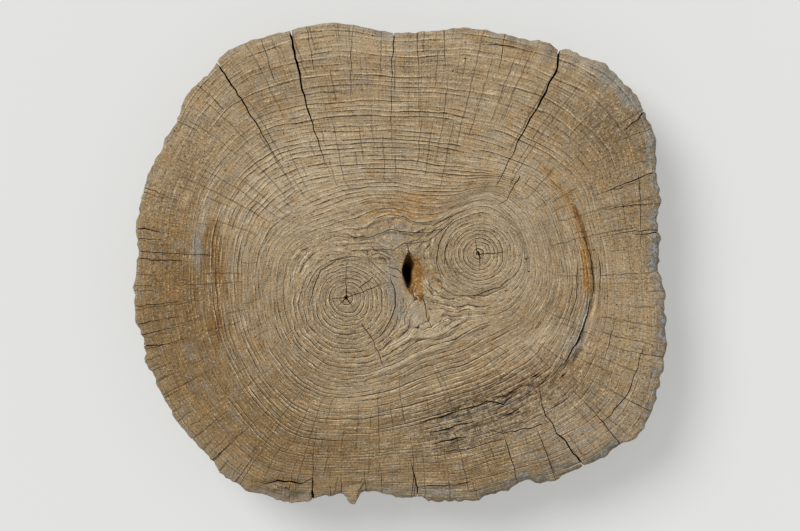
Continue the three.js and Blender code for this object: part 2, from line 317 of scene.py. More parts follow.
# The drop lies on the left of each path, seen along it
BANDS: tuple[Band, ...] = (
    Band(((205, -62), (202, -76), (199, -91), (191, -105), (184, -112)), 7.0, 2.4, 4.5, 0.5),
    Band(((213, 6), (216, -22), (215, -42), (210, -62)), 3.5, -1.0, 2.5, 0.4),
    Band(((172, 93), (188, 70), (200, 46), (210, 20)), 5.0, 0.9, 1.6, 0.3),
    Band(
        ((20, -177), (49, -169), (78, -162), (101, -155), (122, -152), (139, -143), (154, -125)),
        7.0, 3.6, 4.5, 0.8,
    ),
    Band(((193, -110), (181, -122), (170, -129)), 6.0, -3.5, 2.0, 0.8),
    Band(((22, -206), (67, -192), (112, -181), (163, -170)), 7.0, 2.2, 2.6, 0.8),
    Band(((60, -215), (96, -205), (130, -196)), 6.0, 1.6, 2.0, 0.8),
    Band(((58, -144), (94, -132), (125, -119), (152, -100), (170, -75)), 6.0, 1.6, 2.0, 0.6),
    Band(((166, -146), (176, -138), (190, -128)), 6.0, 2.2, 2.6, 0.6),
    Band(LOWER_WAVE, 4.6, 2.2, -2.0, 0.1),
    Band(
        ((-55, -126), (-29, -123), (-7, -116), (15, -104), (32, -97), (51, -91), (68, -79), (89, -69),
         (112, -60)), 4.2, 1.7, -1.8, 0.1,
    ),
    Band(((-1, -74), (13, -67), (35, -73)), 4.0, 1.2, -1.2, 0.1),
    Band(LEFT_PITH_RING, 2.6, -1.2, 0.6),
    Band(LEFT_CORE_EDGE, 3.0, 0.9, -1.0),
    Band(RIGHT_CORE_EDGE, 2.8, -1.2, 0.5),
    Band(RIGHT_CORE_FOOT, 3.2, -1.3, -0.8),
    Band(((131, 46), (140, 28), (142, 8), (138, -10)), 3.0, 1.1, -1.2),
    Band(UPPER_WAVE, 3.6, 1.6, -1.4),
    Band(INNER_WAVE, 3.2, 1.2, -1.2),
    Band(((-68, 64), (-32, 72), (-3, 69), (33, 63), (62, 65), (101, 80)), 3.4, 1.3, -1.2),
    Band(PALE_RING, 3.4, 1.3, -0.8),
    Band(OUTER_PALE_RING, 3.0, 1.1, -0.6),
    Band(((80, 247), (89, 246), (118, 245), (146, 238), (160, 232)), 3.6, -3.0, 0.5, 0.4),
    Band(((-42, -247), (-6, -250), (20, -252), (50, -250), (78, -246)), 4.0, -2.4, -1.5, 0.5),
    Band(((-172, -240), (-150, -243), (-128, -240), (-112, -243), (-98, -238)), 4.0, -3.0, -2.0, 0.6),
    Band(((-62, -246), (-50, -244), (-40, -247)), 3.5, -2.5, -1.0, 0.4),
    Band(((-172, -252), (-145, -258), (-120, -260), (-96, -256)), 15.0, -5.0, 0.0, 0.5),
)

# The order matters: each check draws its jags from one seeded row of numbers
CHECKS: tuple[Check, ...] = (
    Check(
        ((-123, 275), (-121, 249), (-115, 223), (-109, 194), (-102, 169), (-96, 150), (-82, 109), (-76, 97)),
        3.0, 74,
    ),
    Check(((-7, 272), (-7, 245), (-9, 228), (-9, 212)), 2.4, 54),
    Check(((-9, 226), (-9, 212), (-10, 169), (-9, 120)), 0.8, 16),
    Check(((-212, 236), (-196, 212), (-178, 184), (-160, 155), (-142, 124), (-124, 95)), 2.3, 60),
    Check(
        ((180, 258), (177, 224), (174, 214), (167, 203), (163, 192), (156, 178), (146, 162), (131, 134),
         (125, 121), (114, 98), (108, 88)), 3.1, 80, 5.0,
    ),
    Check(((134, 98), (126, 84), (120, 71), (110, 66)), 1.1, 7),
    Check(((284, 186), (269, 166), (266, 160), (259, 156), (250, 149)), 3.3, 46),
    Check(((304, 44), (289, 35), (283, 34), (262, 32)), 2.5, 40),
    Check(((302, 107), (276, 99), (257, 92), (231, 80)), 1.7, 34),
    Check(
        ((219, -244), (202, -222), (197, -216), (190, -208), (185, -198), (175, -190), (170, -178),
         (163, -170), (159, -160), (158, -144), (149, -128)), 2.4, 64, 4.0,
    ),
    Check(((-310, 39), (-285, 39), (-275, 37), (-258, 33)), 2.0, 36),
    Check(((-300, 93), (-275, 81), (-259, 74)), 1.4, 30),
    Check(((-302, -92), (-275, -92), (-258, -90)), 2.2, 36),
    Check(((-98, -277), (-98, -255), (-97, -240)), 2.3, 40),
    Check(((21, -274), (19, -251), (17, -242), (14, -229), (11, -219)), 2.2, 40),
    Check(((-60, -38), (-60, -22), (-59, 2)), 0.9, 8),
    Check(((-61, -39), (-36, -29), (-12, -21)), 0.9, 8),
    Check(((-59, -38), (-77, -40)), 1.2, 8),
    Check(((-59, -37), (-69, -47)), 1.2, 8),
    Check(((-61, -37), (-53, -48)), 1.6, 8),
    Check(((-43, -67), (-32, -82), (-18, -115)), 0.9, 6),
    Check.along(((-46, -28), (-30, -15)), 0.9, 5, 3.0),
    Check(((84, 26), (85, 15), (86, 14)), 1.0, 8),
    Check.along(((85, 15), (90, 6)), 2.5, 16, 9.0),
    Check(((89, 9), (89, -8)), 1.1, 8),
    Check(((88, 10), (117, 13)), 0.9, 6),
    Check(((26, -40), (29, -53), (31, -63), (36, -73)), 1.0, 8),
    Check(((10, 12), (8, 22)), 1.1, 8),
    Check.along(((205, 30), (210, 17), (215, 0), (216, -16), (216, -32), (211, -51)), 1.3, 8),
    Check.along(((222, 12), (224, -10), (224, -30)), 1.0, 5),
    Check.along(((199, 3), (198, -20), (197, -42), (186, -71)), 1.2, 6),
    Check.along(((213, -40), (208, -64), (200, -84), (190, -101), (180, -116)), 2.4, 9, 4.0),
    Check.along(((186, -122), (178, -129)), 2.8, 10, 4.0),
    Check.along(((156, -122), (146, -128)), 3.0, 10, 4.0),
    Check.along(((132, -140), (118, -148), (104, -151)), 1.8, 8, 3.0),
    Check.along(
        ((155, -133), (143, -136), (131, -143), (115, -157), (98, -154), (80, -161), (60, -165), (24, -173)),
        1.5, 8, 3.0,
    ),
    Check.along(((100, -186), (113, -190), (124, -188), (145, -184), (167, -177)), 1.2, 7),
    Check.along(((44, -212), (60, -209), (82, -206), (104, -199)), 1.1, 6),
    Check.along(((70, -164), (50, -170), (22, -178)), 2.0, 6, 3.0),
    Check.along(LEFT_PITH_RING, 0.9, 4),
    Check.along(LEFT_CORE_EDGE, 0.9, 4),
    Check.along(RIGHT_CORE_EDGE, 0.9, 4),
    Check.along(((58, 30), (51, 17), (50, -1)), 0.8, 4),
    Check.along(RIGHT_CORE_FOOT, 0.9, 4),
    Check.along(((-14, -3), (-3, -7), (3, -12)), 0.8, 4),
    Check.along(((-13, -11), (-2, -16)), 0.7, 4),
    Check.along(((-55, 14), (-29, 16), (-8, 15), (4, 22), (30, 24), (46, 37), (61, 50)), 0.7, 4),
    Check.along(INNER_WAVE, 0.7, 4),
    Check.along(((22, 44), (37, 43), (58, 53)), 0.8, 4),
    Check.along(
        ((-165, -243), (-150, -247), (-136, -243), (-124, -244), (-112, -247), (-98, -240)), 2.4, 12, 3.0,
    ),
    Check.along(((-157, -253), (-149, -252)), 4.0, 14, 4.0),
    Check.along(((-134, -256), (-128, -250), (-121, -255)), 1.6, 8, 3.0),
    Check.along(((16, -251), (32, -248), (50, -249), (78, -244)), 1.3, 7),
    Check.along(((84, 246), (100, 245), (118, 244), (135, 241), (148, 237)), 1.9, 8, 3.0),
    Check.along(((28, -190), (46, -187), (62, -181), (84, -176)), 1.6, 7),
    Check.along(((36, -202), (58, -196), (74, -194)), 1.4, 6),
    Check.along(((110, -173), (126, -166), (140, -158)), 1.8, 7),
    Check.along(((150, -140), (160, -133), (168, -124)), 1.6, 6),
    Check.along(((92, -140), (108, -133), (121, -124)), 1.1, 5),
    Check.along(((241, -60), (235, -86), (227, -109)), 1.0, 5, 3.0),
    Check.along(((272, -92), (266, -115), (256, -143), (232, -173), (222, -179)), 1.2, 6, 3.0),
    Check.along(((266, 98), (269, 68), (269, 34), (270, 17)), 0.6, 4),
)

PATCHES: dict[Stain, tuple[Patch, ...]] = {
    Stain.GREY: (
        Patch((-227, 16), (13, 38), 4, 0.9),
        Patch((-222, 40), (10, 12), 5, 0.7),
        Patch((-8, -26), (15, 60), 8, 0.85),
        Patch((12, -60), (26, 26), 0, 0.6),
        Patch((-10, 30), (44, 22), 10, 0.5),
        Patch((110, -170), (140, 50), 20, 0.3),
        Patch((200, -190), (120, 60), 30, 0.4),
        Patch((-128, -262), (46, 10), 0, 0.6),
        Patch((20, -255), (70, 12), 0, 0.7),
        Patch((240, 205), (70, 26), -45, 0.8),
        Patch((190, -90), (22, 40), -20, 0.5),
    ),
    Stain.AMBER: (
        Patch((-240, 0), (60, 150), 0, 0.2),
        Patch((38, -10), (16, 14), 0, 0.4),
        Patch((150, -130), (120, 50), 25, 0.6),
        Patch((110, -165), (130, 40), 18, 0.5),
        Patch((219, 230), (18, 12), -35, 0.9),
        Patch((263, 192), (14, 10), -45, 0.9),
        Patch((121, 244), (16, 6), -10, 0.8),
        Patch((243, -197), (12, 8), 30, 0.8),
        Patch((100, 95), (90, 26), -12, 0.4),
        Patch((88, 10), (70, 60), 0, 0.25),
        Patch((10, 62), (90, 24), 5, 0.6),
        Patch((30, 78), (80, 12), 5, 0.4),
    ),
    Stain.BROWN: (
        Patch((-262, -30), (80, 190), 0, 0.75),
        Patch((-185, -165), (140, 110), -42, 1.0),
        Patch((-240, -60), (90, 120), -10, 0.6),
        Patch((-70, -215), (150, 66), 0, 0.9),
        Patch((100, -225), (150, 50), 10, 0.9),
        Patch((225, -165), (70, 70), 0, 0.4),
        Patch((235, 140), (80, 85), 20, 0.85),
        Patch((60, -150), (150, 40), 14, 0.6),
        Patch((190, -60), (70, 70), 0, 0.25),
        Patch((-210, 10), (24, 60), -6, 0.4),
        Patch((20, -10), (12, 24), 10, 0.45),
        Patch((-128, -250), (60, 20), 0, 1.0),
    ),
    Stain.PALE: (
        Patch((222, 222), (70, 20), -38, 0.8),
        Patch((-110, 88), (130, 90), 25, 1.0),
        Patch((50, 90), (130, 60), 0, 0.6),
        Patch((30, -68), (44, 40), 0, 0.9),
        Patch((-75, -8), (110, 48), 10, 0.7),
        Patch((125, 85), (60, 50), -20, 0.7),
        Patch((150, -100), (90, 46), 30, 0.9),
        Patch((135, -160), (80, 34), 18, 0.9),
        Patch((130, 70), (50, 60), -20, 0.5),
        Patch((-60, 138), (150, 34), 5, 0.4),
        Patch((0, 250), (190, 26), 0, 0.5),
        Patch((110, 10), (100, 90), 0, 0.9),
    ),
    Stain.SMOOTH: (
        Patch((-4, -24), (15, 52), 8, 1.0),
        Patch((26, -56), (26, 22), 0, 0.8),
        Patch((21, -18), (14, 26), 14, 1.0),
        Patch((-2, 30), (46, 20), 0, 0.6),
    ),
    Stain.ROUGH: (
        Patch((225, 165), (66, 66), 0, 1.0),
        Patch((180, -50), (40, 60), 0, 0.6),
        Patch((62, -12), (22, 20), 0, 0.7),
        Patch((150, -130), (150, 60), 25, 0.6),
        Patch((60, 210), (120, 40), 0, 0.4),
        Patch((-126, -254), (50, 18), 0, 1.0),
    ),
}

STREAKS: dict[Stain, tuple[Streak, ...]] = {
    Stain.GREY: (
        Streak(((209, -40), (206, -62), (203, -80), (192, -105)), 8, 1.0),
        Streak(((49, -173), (78, -166), (101, -159), (122, -156), (143, -144)), 7, 0.9),
    ),
    Stain.AMBER: (
        Streak(
            ((160, 105), (172, 93), (186, 75), (199, 46), (206, 22), (208, -5), (209, -28), (204, -52)),
            8, 0.9,
        ),
        Streak(((205, 14), (208, -5), (209, -26)), 7, 0.6),
        Streak(((16, 2), (19, -8), (20, -20), (19, -28)), 11, 2.2),
        Streak(((18, -30), (22, -38)), 7, 1.8),
        Streak(((-205, 45), (-204, 10), (-203, -20), (-206, -50), (-205, -90)), 10, 0.5),
        Streak(((-203, -60), (-200, -85)), 7, 0.4),
        Streak(((-20, 56), (5, 60), (15, 52), (40, 54)), 5, 0.5),
    ),
    Stain.BROWN: (
        Streak(((190, 76), (202, 46), (211, 19), (215, 0), (216, -28), (211, -50), (206, -66)), 5, 1.3),
        Streak(((12, -29), (17, -35), (24, -39)), 6, 1.0),
        Streak(((-212, 36), (-208, 10), (-203, -20)), 18, 0.5),
        Streak(((-205, -58), (-200, -88)), 12, 0.7),
    ),
    Stain.PALE: (
        Streak(((25, -21), (30, -27), (37, -33)), 8, 1.6),
        Streak(PALE_RING, 6, 0.9),
        Streak(OUTER_PALE_RING, 6, 0.8),
        Streak(UPPER_WAVE, 6, 0.8),
        Streak(LOWER_WAVE, 8, 1.0),
        Streak(((-29, -123), (-7, -116), (15, -104), (32, -97), (51, -91), (68, -79), (89, -69)), 7, 1.0),
    ),
}


@dataclass
class GrowthField:
    """Where the rings and the wood rays run, at any point of the ringed face."""

    hub: Point = (10.0, -8.0)
    leaders: tuple[Leader, ...] = (
        Leader(pith=(-60, -38), middle=(-56, -44), half_size=(54, 54)),
        Leader(pith=(87, 11), middle=(90, 10), half_size=(50, 48)),
    )
    lobe_ring: float = 12.0
    fused_ring: float = 15.0
    shake_ring: float = 36.0
    last_ring: float = 58.0
    outline_smoothing: float = 5.0
    grid_step: float = 1.5
    grid_half: Point = (318.0, 288.0)
    bearings: int = 1440
    trace_step: float = 3.0
    core_size: float = 110.0
    rim_size: float = 270.0
    traced_rings: int = 87
    rings_beyond: float = 4.0
    grain_turns: Point = (14.5, 26.0)
    widest_pitch: float = 40.0
    widest_spread: float = 400.0
    bearing: Array = field(init=False)
    rim: Array = field(init=False)
    outline: Array = field(init=False)
    fused: Array = field(init=False)
    shake: Array = field(init=False)
    grid_x: Array = field(init=False)
    grid_y: Array = field(init=False)
    ring_grid: Array = field(init=False)
    slope_grid: Array = field(init=False)
    pitch_grid: Array = field(init=False)
    ray_grid: Array = field(init=False)
    spread_grid: Array = field(init=False)

    def __post_init__(self) -> None:
        """Works out the rings first, and then the rays that cross them at right angles."""
        self.bearing = np.linspace(-math.pi, math.pi, self.bearings, endpoint=False)
        self.rim = self.radius_about(OUTLINE)
        self.outline = self.smoothed(self.rim)
        self.fused = self.radius_about(FUSED_OUTLINE)
        self.shake = self.radius_about(SHAKE_OUTLINE)
        columns = np.arange(-self.grid_half[0], self.grid_half[0] + 1, self.grid_step)
        rows = np.arange(-self.grid_half[1], self.grid_half[1] + 1, self.grid_step)
        self.grid_x, self.grid_y = np.meshgrid(columns, rows)
        self.ring_grid = self.rings(self.grid_x, self.grid_y)
        slope_y, slope_x = np.gradient(self.ring_grid, self.grid_step)
        length = np.hypot(slope_x, slope_y) + 1e-6
        self.slope_grid = np.stack([slope_x / length, slope_y / length], -1)
        self.pitch_grid = np.clip(1.0 / length, 1.0, self.widest_pitch)
        self.ray_grid = self.rays()
        turns = [np.gradient(self.ray_grid[..., k], self.grid_step) for k in (0, 1)]
        turning = np.sqrt(sum(part * part for turn in turns for part in turn)) + 1e-6
        self.spread_grid = np.clip(1.0 / turning, 2.0, self.widest_spread)

    def radius_about(self, points: Sequence[Point], fine: int = 16) -> Array:
        """Turns a closed outline into its radius about the hub at each bearing.

        Args:
            points: The outline's points.
            fine: Samples for each span.

        Returns:
            The radius at each bearing.
        """
        curve = closed_curve(points, fine) - np.array(self.hub)
        angles = np.arctan2(curve[:, 1], curve[:, 0])
        order = np.argsort(angles)
        radii = np.hypot(curve[:, 0], curve[:, 1])[order]
        return np.interp(self.bearing, angles[order], radii, period=2 * math.pi)

    def smoothed(self, radii: Array) -> Array:
        """Smooths a radius along its bearings, as the rings ignore the small notches of the rim.

        Args:
            radii: The radius at each bearing.

        Returns:
            The smoothed radii.
        """
        width = self.outline_smoothing / 360.0 * self.bearings
        reach = int(3 * width)
        weights = np.exp(-0.5 * (np.arange(-reach, reach + 1) / width) ** 2)
        padded = np.concatenate([radii[-reach:], radii, radii[:reach]])
        return np.convolve(padded, weights / weights.sum(), "valid")

    def at_bearing(self, radii: Array, phi: Array) -> Array:
        """Reads a radius table at any angle about the hub."""
        return np.interp(phi, self.bearing, radii, period=2 * math.pi)

    def polar(self, x: Array, y: Array) -> tuple[Array, Array]:
        """Gives the angle and the distance of points about the hub."""
        return np.arctan2(y - self.hub[1], x - self.hub[0]), np.hypot(x - self.hub[0], y - self.hub[1])

    def ring_radius(self, phi: Array, ring: Array) -> Array:
        """Gives a ring's radius about the hub, outside the first fused ring.

        Args:
            phi: Angles about the hub.
            ring: Ring numbers, from the first fused ring outwards.

        Returns:
            The radii, smooth across the shake ring.
        """
        inner = self.at_bearing(self.fused, phi)
        middle = self.at_bearing(self.shake, phi)
        outer = self.at_bearing(self.outline, phi)
        spans = (self.shake_ring - self.fused_ring, self.last_ring - self.shake_ring)
        slopes = ((middle - inner) / spans[0], (outer - middle) / spans[1])
        bend = 2.0 * slopes[0] * slopes[1] / (slopes[0] + slopes[1])
        within = self.hermite((ring - self.fused_ring) / spans[0], inner, middle, slopes[0], bend, spans[0])
        beyond = self.hermite((ring - self.shake_ring) / spans[1], middle, outer, bend, slopes[1], spans[1])
        return np.where(ring < self.shake_ring, within, beyond)

    @staticmethod
    def hermite(t: Array, low: Array, high: Array, start: Array, end: Array, span: float) -> Array:
        """Runs smoothly from low to high with the given slopes at both ends."""
        blend = (2 * t**3 - 3 * t**2 + 1) * low + (3 * t**2 - 2 * t**3) * high
        return blend + ((t**3 - 2 * t**2 + t) * start + (t**3 - t**2) * end) * span

    def lobe_share(self, leader: Leader, x: Array, y: Array) -> Array:
        """How far out a point lies in a leader's own rings: 0 at the pith and 1 at their edge.

        Args:
            leader: The leader.
            x: Where the points lie.
            y: Where the points lie.

        Returns:
            The share at each point, above 1 outside the rings.
        """
        px, py = ((leader.pith[k] - leader.middle[k]) / leader.half_size[k] for k in (0, 1))
        dx = (x - leader.pith[0]) / leader.half_size[0]
        dy = (y - leader.pith[1]) / leader.half_size[1]
        square = dx * dx + dy * dy + 1e-9
        along = (px * dx + py * dy) / square
        reach = -along + np.sqrt(along * along + (1.0 - px * px - py * py) / square)
        return 1.0 / reach

    def rings(self, x: Array, y: Array) -> Array:
        """Counts the rings from the pith out to each point.

        Args:
            x: Where the points lie.
            y: Where the points lie.

        Returns:
            The ring number at each point.
        """
        phi, radius = self.polar(x, y)
        numbers = np.linspace(self.fused_ring, self.last_ring, self.traced_rings)
        table = self.ring_radius(self.bearing[:, None], numbers[None, :])
        place = (phi + math.pi) / (2 * math.pi) * self.bearings
        near = np.floor(place).astype(int) % self.bearings
        far = (near + 1) % self.bearings
        share = place - np.floor(place)
        radii = [table[near, k] * (1 - share) + table[far, k] * share for k in range(self.traced_rings)]
        ring = np.full(x.shape, self.fused_ring)
        for k in range(self.traced_rings - 1):
            part = (radius - radii[k]) / (radii[k + 1] - radii[k])
            most = self.rings_beyond if k == self.traced_rings - 2 else 1.0
            ring = ring + np.clip(part, 0.0, most) * (numbers[k + 1] - numbers[k])
        inside = radius < radii[0]
        return np.where(inside, self.core_rings(x, y, inside), ring)

    def core_rings(self, x: Array, y: Array, inside: Array) -> Array:
        """Counts the rings inside the first fused ring: round each pith, and in the wood between the two."""
        share = np.minimum(*(self.lobe_share(leader, x, y) for leader in self.leaders))
        gap = np.minimum(*(self.lobe_gap(leader, x, y) for leader in self.leaders))
        wall = self.fused_gap(x, y, inside)
        between = self.lobe_ring + (self.fused_ring - self.lobe_ring) * gap / (gap + wall + 1e-6)
        return np.where(share < 1.0, share * self.lobe_ring, between)

    def lobe_gap(self, leader: Leader, x: Array, y: Array) -> Array:
        """The distance from a leader's own rings to a point outside them."""
        u = (x - leader.middle[0]) / leader.half_size[0]
        v = (y - leader.middle[1]) / leader.half_size[1]
        return np.maximum(np.hypot(u, v) - 1.0, 0.0) * min(leader.half_size)

    def fused_gap(self, x: Array, y: Array, inside: Array) -> Array:
        """The distance from a point inside the first fused ring to that ring.

        Args:
            x: Where the points lie.
            y: Where the points lie.
            inside: Which of them lie inside it.

        Returns:
            The distance, or 0 for the points outside.
        """
        curve = closed_curve(FUSED_OUTLINE, 10)
        gap = np.zeros(x.shape)
        points = np.stack([x[inside], y[inside]], -1)
        apart = [np.linalg.norm(points - sample, axis=1) for sample in curve]
        gap[inside] = np.minimum.reduce(apart)
        return gap

    def sample(self, grid: Array, x: Array, y: Array) -> Array:
        """Reads a grid between its points.

        Args:
            grid: Values on the field's grid, with or without a last axis of components.
            x: Where to read it.
            y: Where to read it.

        Returns:
            The value at each point.
        """
        rows, columns = self.ring_grid.shape
        u = np.clip((x + self.grid_half[0]) / self.grid_step, 0, columns - 1.001)
        v = np.clip((y + self.grid_half[1]) / self.grid_step, 0, rows - 1.001)
        i, j = u.astype(int), v.astype(int)
        s, t = u - i, v - j
        if grid.ndim > 2:
            s, t = s[..., None], t[..., None]
        near = grid[j, i] * (1 - s) + grid[j, i + 1] * s
        far = grid[j + 1, i] * (1 - s) + grid[j + 1, i + 1] * s
        return near * (1 - t) + far * t

    def rays(self) -> Array:
        """Follows the ray outwards from every grid point to the bearing where it leaves the wood."""
        x, y = self.grid_x.ravel().copy(), self.grid_y.ravel().copy()
        for _ in range(int(1.25 * self.grid_half[0] / self.trace_step)):
            inside = self.sample(self.ring_grid, x, y) < self.last_ring
            slope = self.sample(self.slope_grid, x, y)
            x = x + np.where(inside, slope[:, 0], 0.0) * self.trace_step
            y = y + np.where(inside, slope[:, 1], 0.0) * self.trace_step
        phi, _ = self.polar(x, y)
        return np.stack([np.cos(phi), np.sin(phi)], -1).reshape(*self.grid_x.shape, 2)

    def ring_at(self, x: Array, y: Array) -> Array:
        """The ring number at points of the face."""
        return self.sample(self.ring_grid, x, y)

    def ray_at(self, x: Array, y: Array) -> Array:
        """The bearing where the ray through each point leaves the wood, as a unit vector."""
        ray = self.sample(self.ray_grid, x, y)
        return ray / (np.linalg.norm(ray, axis=-1, keepdims=True) + 1e-9)

    def grain_at(self, x: Array, y: Array) -> Array:
        """The direction that noise follows: half ray bearing and half plain place, which fills the core.

        Args:
            x: Where the points lie.
            y: Where the points lie.

        Returns:
            The direction's two parts on a last axis. It runs smoothly over the lines where rays meet.
        """
        outside = step(self.ring_at(x, y), *self.grain_turns)[..., None]
        plain = np.stack([x, y], -1)
        rays = 0.5 * (self.ray_at(x, y) + plain / self.rim_size)
        return rays * outside + plain / self.core_size * (1.0 - outside)

    def spread_at(self, x: Array, y: Array) -> Array:
        """Millimetres along a ring for each radian of the grain's direction."""
        radius = np.hypot(x, y)
        turning = 1.0 / self.sample(self.spread_grid, x, y) + 1.0 / self.rim_size
        return (1.0 + radius / self.rim_size) / turning

    def ray_inwards(self, start: Point, length: float, stride: float) -> list[Point]:
        """Follows one ray inwards from a point.

        Args:
            start: Where the ray starts.
            length: How far to follow it.
            stride: The distance between the points given back.

        Returns:
            The points along the ray.
        """
        x, y = np.array([start[0]]), np.array([start[1]])
        path = [(float(x[0]), float(y[0]))]
        for _ in range(int(length / stride)):
            slope = self.sample(self.slope_grid, x, y)[0]
            x, y = x - slope[0] * stride, y - slope[1] * stride
            path.append((float(x[0]), float(y[0])))
        return path


def beside(path: Sequence[Point], x: Array, y: Array) -> tuple[Array, Array]:
    """Finds how far points lie from a path, and how far along it.

    Args:
        path: The path's points.
        x: Where the points lie.
        y: Where the points lie.

    Returns:
        The distance, greater than zero on the path's left, and the share of the path, from 0 to 1.
    """
    best = np.full(np.shape(x), 1e9)
    share = np.zeros(np.shape(x))
    for k, (start, end) in enumerate(zip(path, path[1:])):
        along = np.array(end, float) - np.array(start, float)
        length = np.linalg.norm(along)
        dx, dy = x - start[0], y - start[1]
        part = np.clip((dx * along[0] + dy * along[1]) / length**2, 0.0, 1.0)
        apart = np.hypot(dx - part * along[0], dy - part * along[1])
        side = np.where(along[0] * dy - along[1] * dx > 0, 1.0, -1.0)
        nearer = apart < np.abs(best)
        best = np.where(nearer, apart * side, best)
        share = np.where(nearer, (k + part) / (len(path) - 1), share)
    return best, share


@dataclass
class Relief:
    """How high the ringed face stands at each point, and how far the rim is worn."""

    thickness: float = 90.0
    swell: float = 1.6
    swell_size: float = 110.0
    ridge: float = 0.8
    ledge: float = 0.9
    crumb: float = 0.35
    edge_wear: float = 4.0
    wears: tuple[Wear, ...] = (
        Wear(9, Arc(bearing=46, reach=32)),
        Wear(2.5, Arc(bearing=0, reach=48)),
        Wear(3, Arc(bearing=-72, reach=50)),
        Wear(2, Arc(bearing=105, reach=34)),
    )
    crown_drop: float = 0.45
    shoulder_drop: float = 1.1
    shoulder_base: float = 4.0
    scallop_depth: float = 3.2
    nibble_depth: float = 3.0
    smooth_rim: Arc = Arc(bearing=105, reach=50)
    crumbled: Zone = Zone(Arc(bearing=-62, reach=46), ring=36.5, width=12.0, strength=1.25)
    deep_groove: Zone = Zone(Arc(bearing=-22, reach=30), ring=36.3, width=1.5)
    shallow_groove: Zone = Zone(Arc(bearing=22, reach=32), ring=36.3, width=1.6, strength=0.3)
    groove_depth: float = 2.0
    rot_depth: float = 1.5
    pit_depth: float = 1.4
    bands: tuple[Band, ...] = BANDS
    seed: int = 7
    layers: int = 8
    lumps: list[Lumps] = field(init=False)

    def __post_init__(self) -> None:
        """Draws the noise that the relief is made of."""
        self.lumps = [Lumps(self.seed + k) for k in range(self.layers)]

    def wear(self, phi: Array) -> Array:
        """How far the top edge is worn in from the widest outline.

        Args:
            phi: Angles about the hub.

        Returns:
            The distance in millimetres.
        """
        total = np.full(np.shape(phi), self.edge_wear)
        for wear in self.wears:
            total = total + wear.amount * wear.arc.share(phi)
        c, s = np.cos(phi), np.sin(phi)
        chips = 0.3 * self.lumps[0](c * 9.0, s * 9.0) + 0.45 * self.lumps[3](c * 38.0, s * 38.0)
        return total * (1.0 + chips)

    def teeth(self, phi: Array) -> Array:
        """How far the rim is nibbled in, in small scallops that meet at sharp points.

        Args:
            phi: Angles about the hub.

        Returns:
            The distance in millimetres, less than zero where the rim stands out.
        """
        c, s = np.cos(phi), np.sin(phi)
        scallop = np.abs(self.lumps[1](c * 22.0, s * 22.0))
        nibble = np.abs(self.lumps[2](c * 48.0, s * 48.0))
        depth = self.scallop_depth * (0.55 - scallop) + self.nibble_depth * (0.5 - nibble)
        return depth * (1.0 - 0.7 * self.smooth_rim.share(phi))

    def rot(self, phi: Array, ring: Array) -> Array:
        """How badly the wood has crumbled, from 0 to 1: along a band at the lower right."""
        return np.clip(self.crumbled.share(phi, ring), 0.0, 1.0)

    def groove(self, phi: Array, ring: Array) -> Array:
        """How deep the groove along the shake ring is, from 0 to 1."""
        return np.maximum(self.deep_groove.share(phi, ring), self.shallow_groove.share(phi, ring))

    def ridged(self, phase: Array, c: Array, s: Array) -> Array:
        """Steep-sided ridges, one for each whole number of the phase, each as strong as its draw."""
        saw = phase - np.floor(phase)
        strength = 0.35 + 1.1 * np.abs(self.lumps[4](c * 3.5, s * 3.5, np.floor(phase) * 1.37))
        return strength * (np.minimum(saw / 0.3, (1.0 - saw) / 0.7) - 0.5)

    def height(self, x: Array, y: Array, growth: GrowthField) -> Array:
        """The height of the ringed face.

        Args:
            x: Where the points lie.
            y: Where the points lie.
            growth: The rings and rays that the relief follows.

        Returns:
            The height of each point above the underside.
        """
        phi, _ = growth.polar(x, y)
        ring = growth.ring_at(x, y)
        ray = growth.grain_at(x, y)
        pitch = growth.sample(growth.pitch_grid, x, y)
        c, s = ray[..., 0], ray[..., 1]
        noise = self.lumps
        phase = ring + 0.35 * noise[3](c * 6.0, s * 6.0, ring * 0.4)
        outside = 0.32 + 0.68 * step(ring, 11.0, 16.0)
        paired = outside * self.ridged(phase * 0.5 + 0.2, c, s) * (1.0 - step(pitch, 5.5, 9.0))
        single = outside * 0.45 * self.ridged(phase, c, s) * (1.0 - step(pitch, 8.0, 13.0))
        split = 0.6 * step(pitch, 5.5, 8.0) * self.ridged(phase * 2.0, c, s)
        split = split * (1.0 - step(pitch, 15.0, 22.0))
        quartered = 0.5 * step(pitch, 10.0, 14.0) * self.ridged(phase * 4.0, c, s)
        smooth = stain_at(Stain.SMOOTH, x, y)
        rough = stain_at(Stain.ROUGH, x, y)
        ridges = self.ridge * (1.0 - 0.75 * smooth) * (paired + single + split + quartered)
        ledges = self.ledge * noise[5](c * 2.4, s * 2.4, ring * 0.5)
        ledges = ledges + 0.55 * noise[2](c * 9.0, s * 9.0, ring * 0.55)
        crumbs = (self.crumb + 0.6 * rough) * (noise[6](x / 7.0, y / 7.0) + noise[1](x / 3.6, y / 3.6))
        swell = self.swell * noise[0](x / self.swell_size, y / self.swell_size)
        return self.thickness + swell + ridges + ledges + crumbs + self.decay(x, y, phi, ring, c, s)

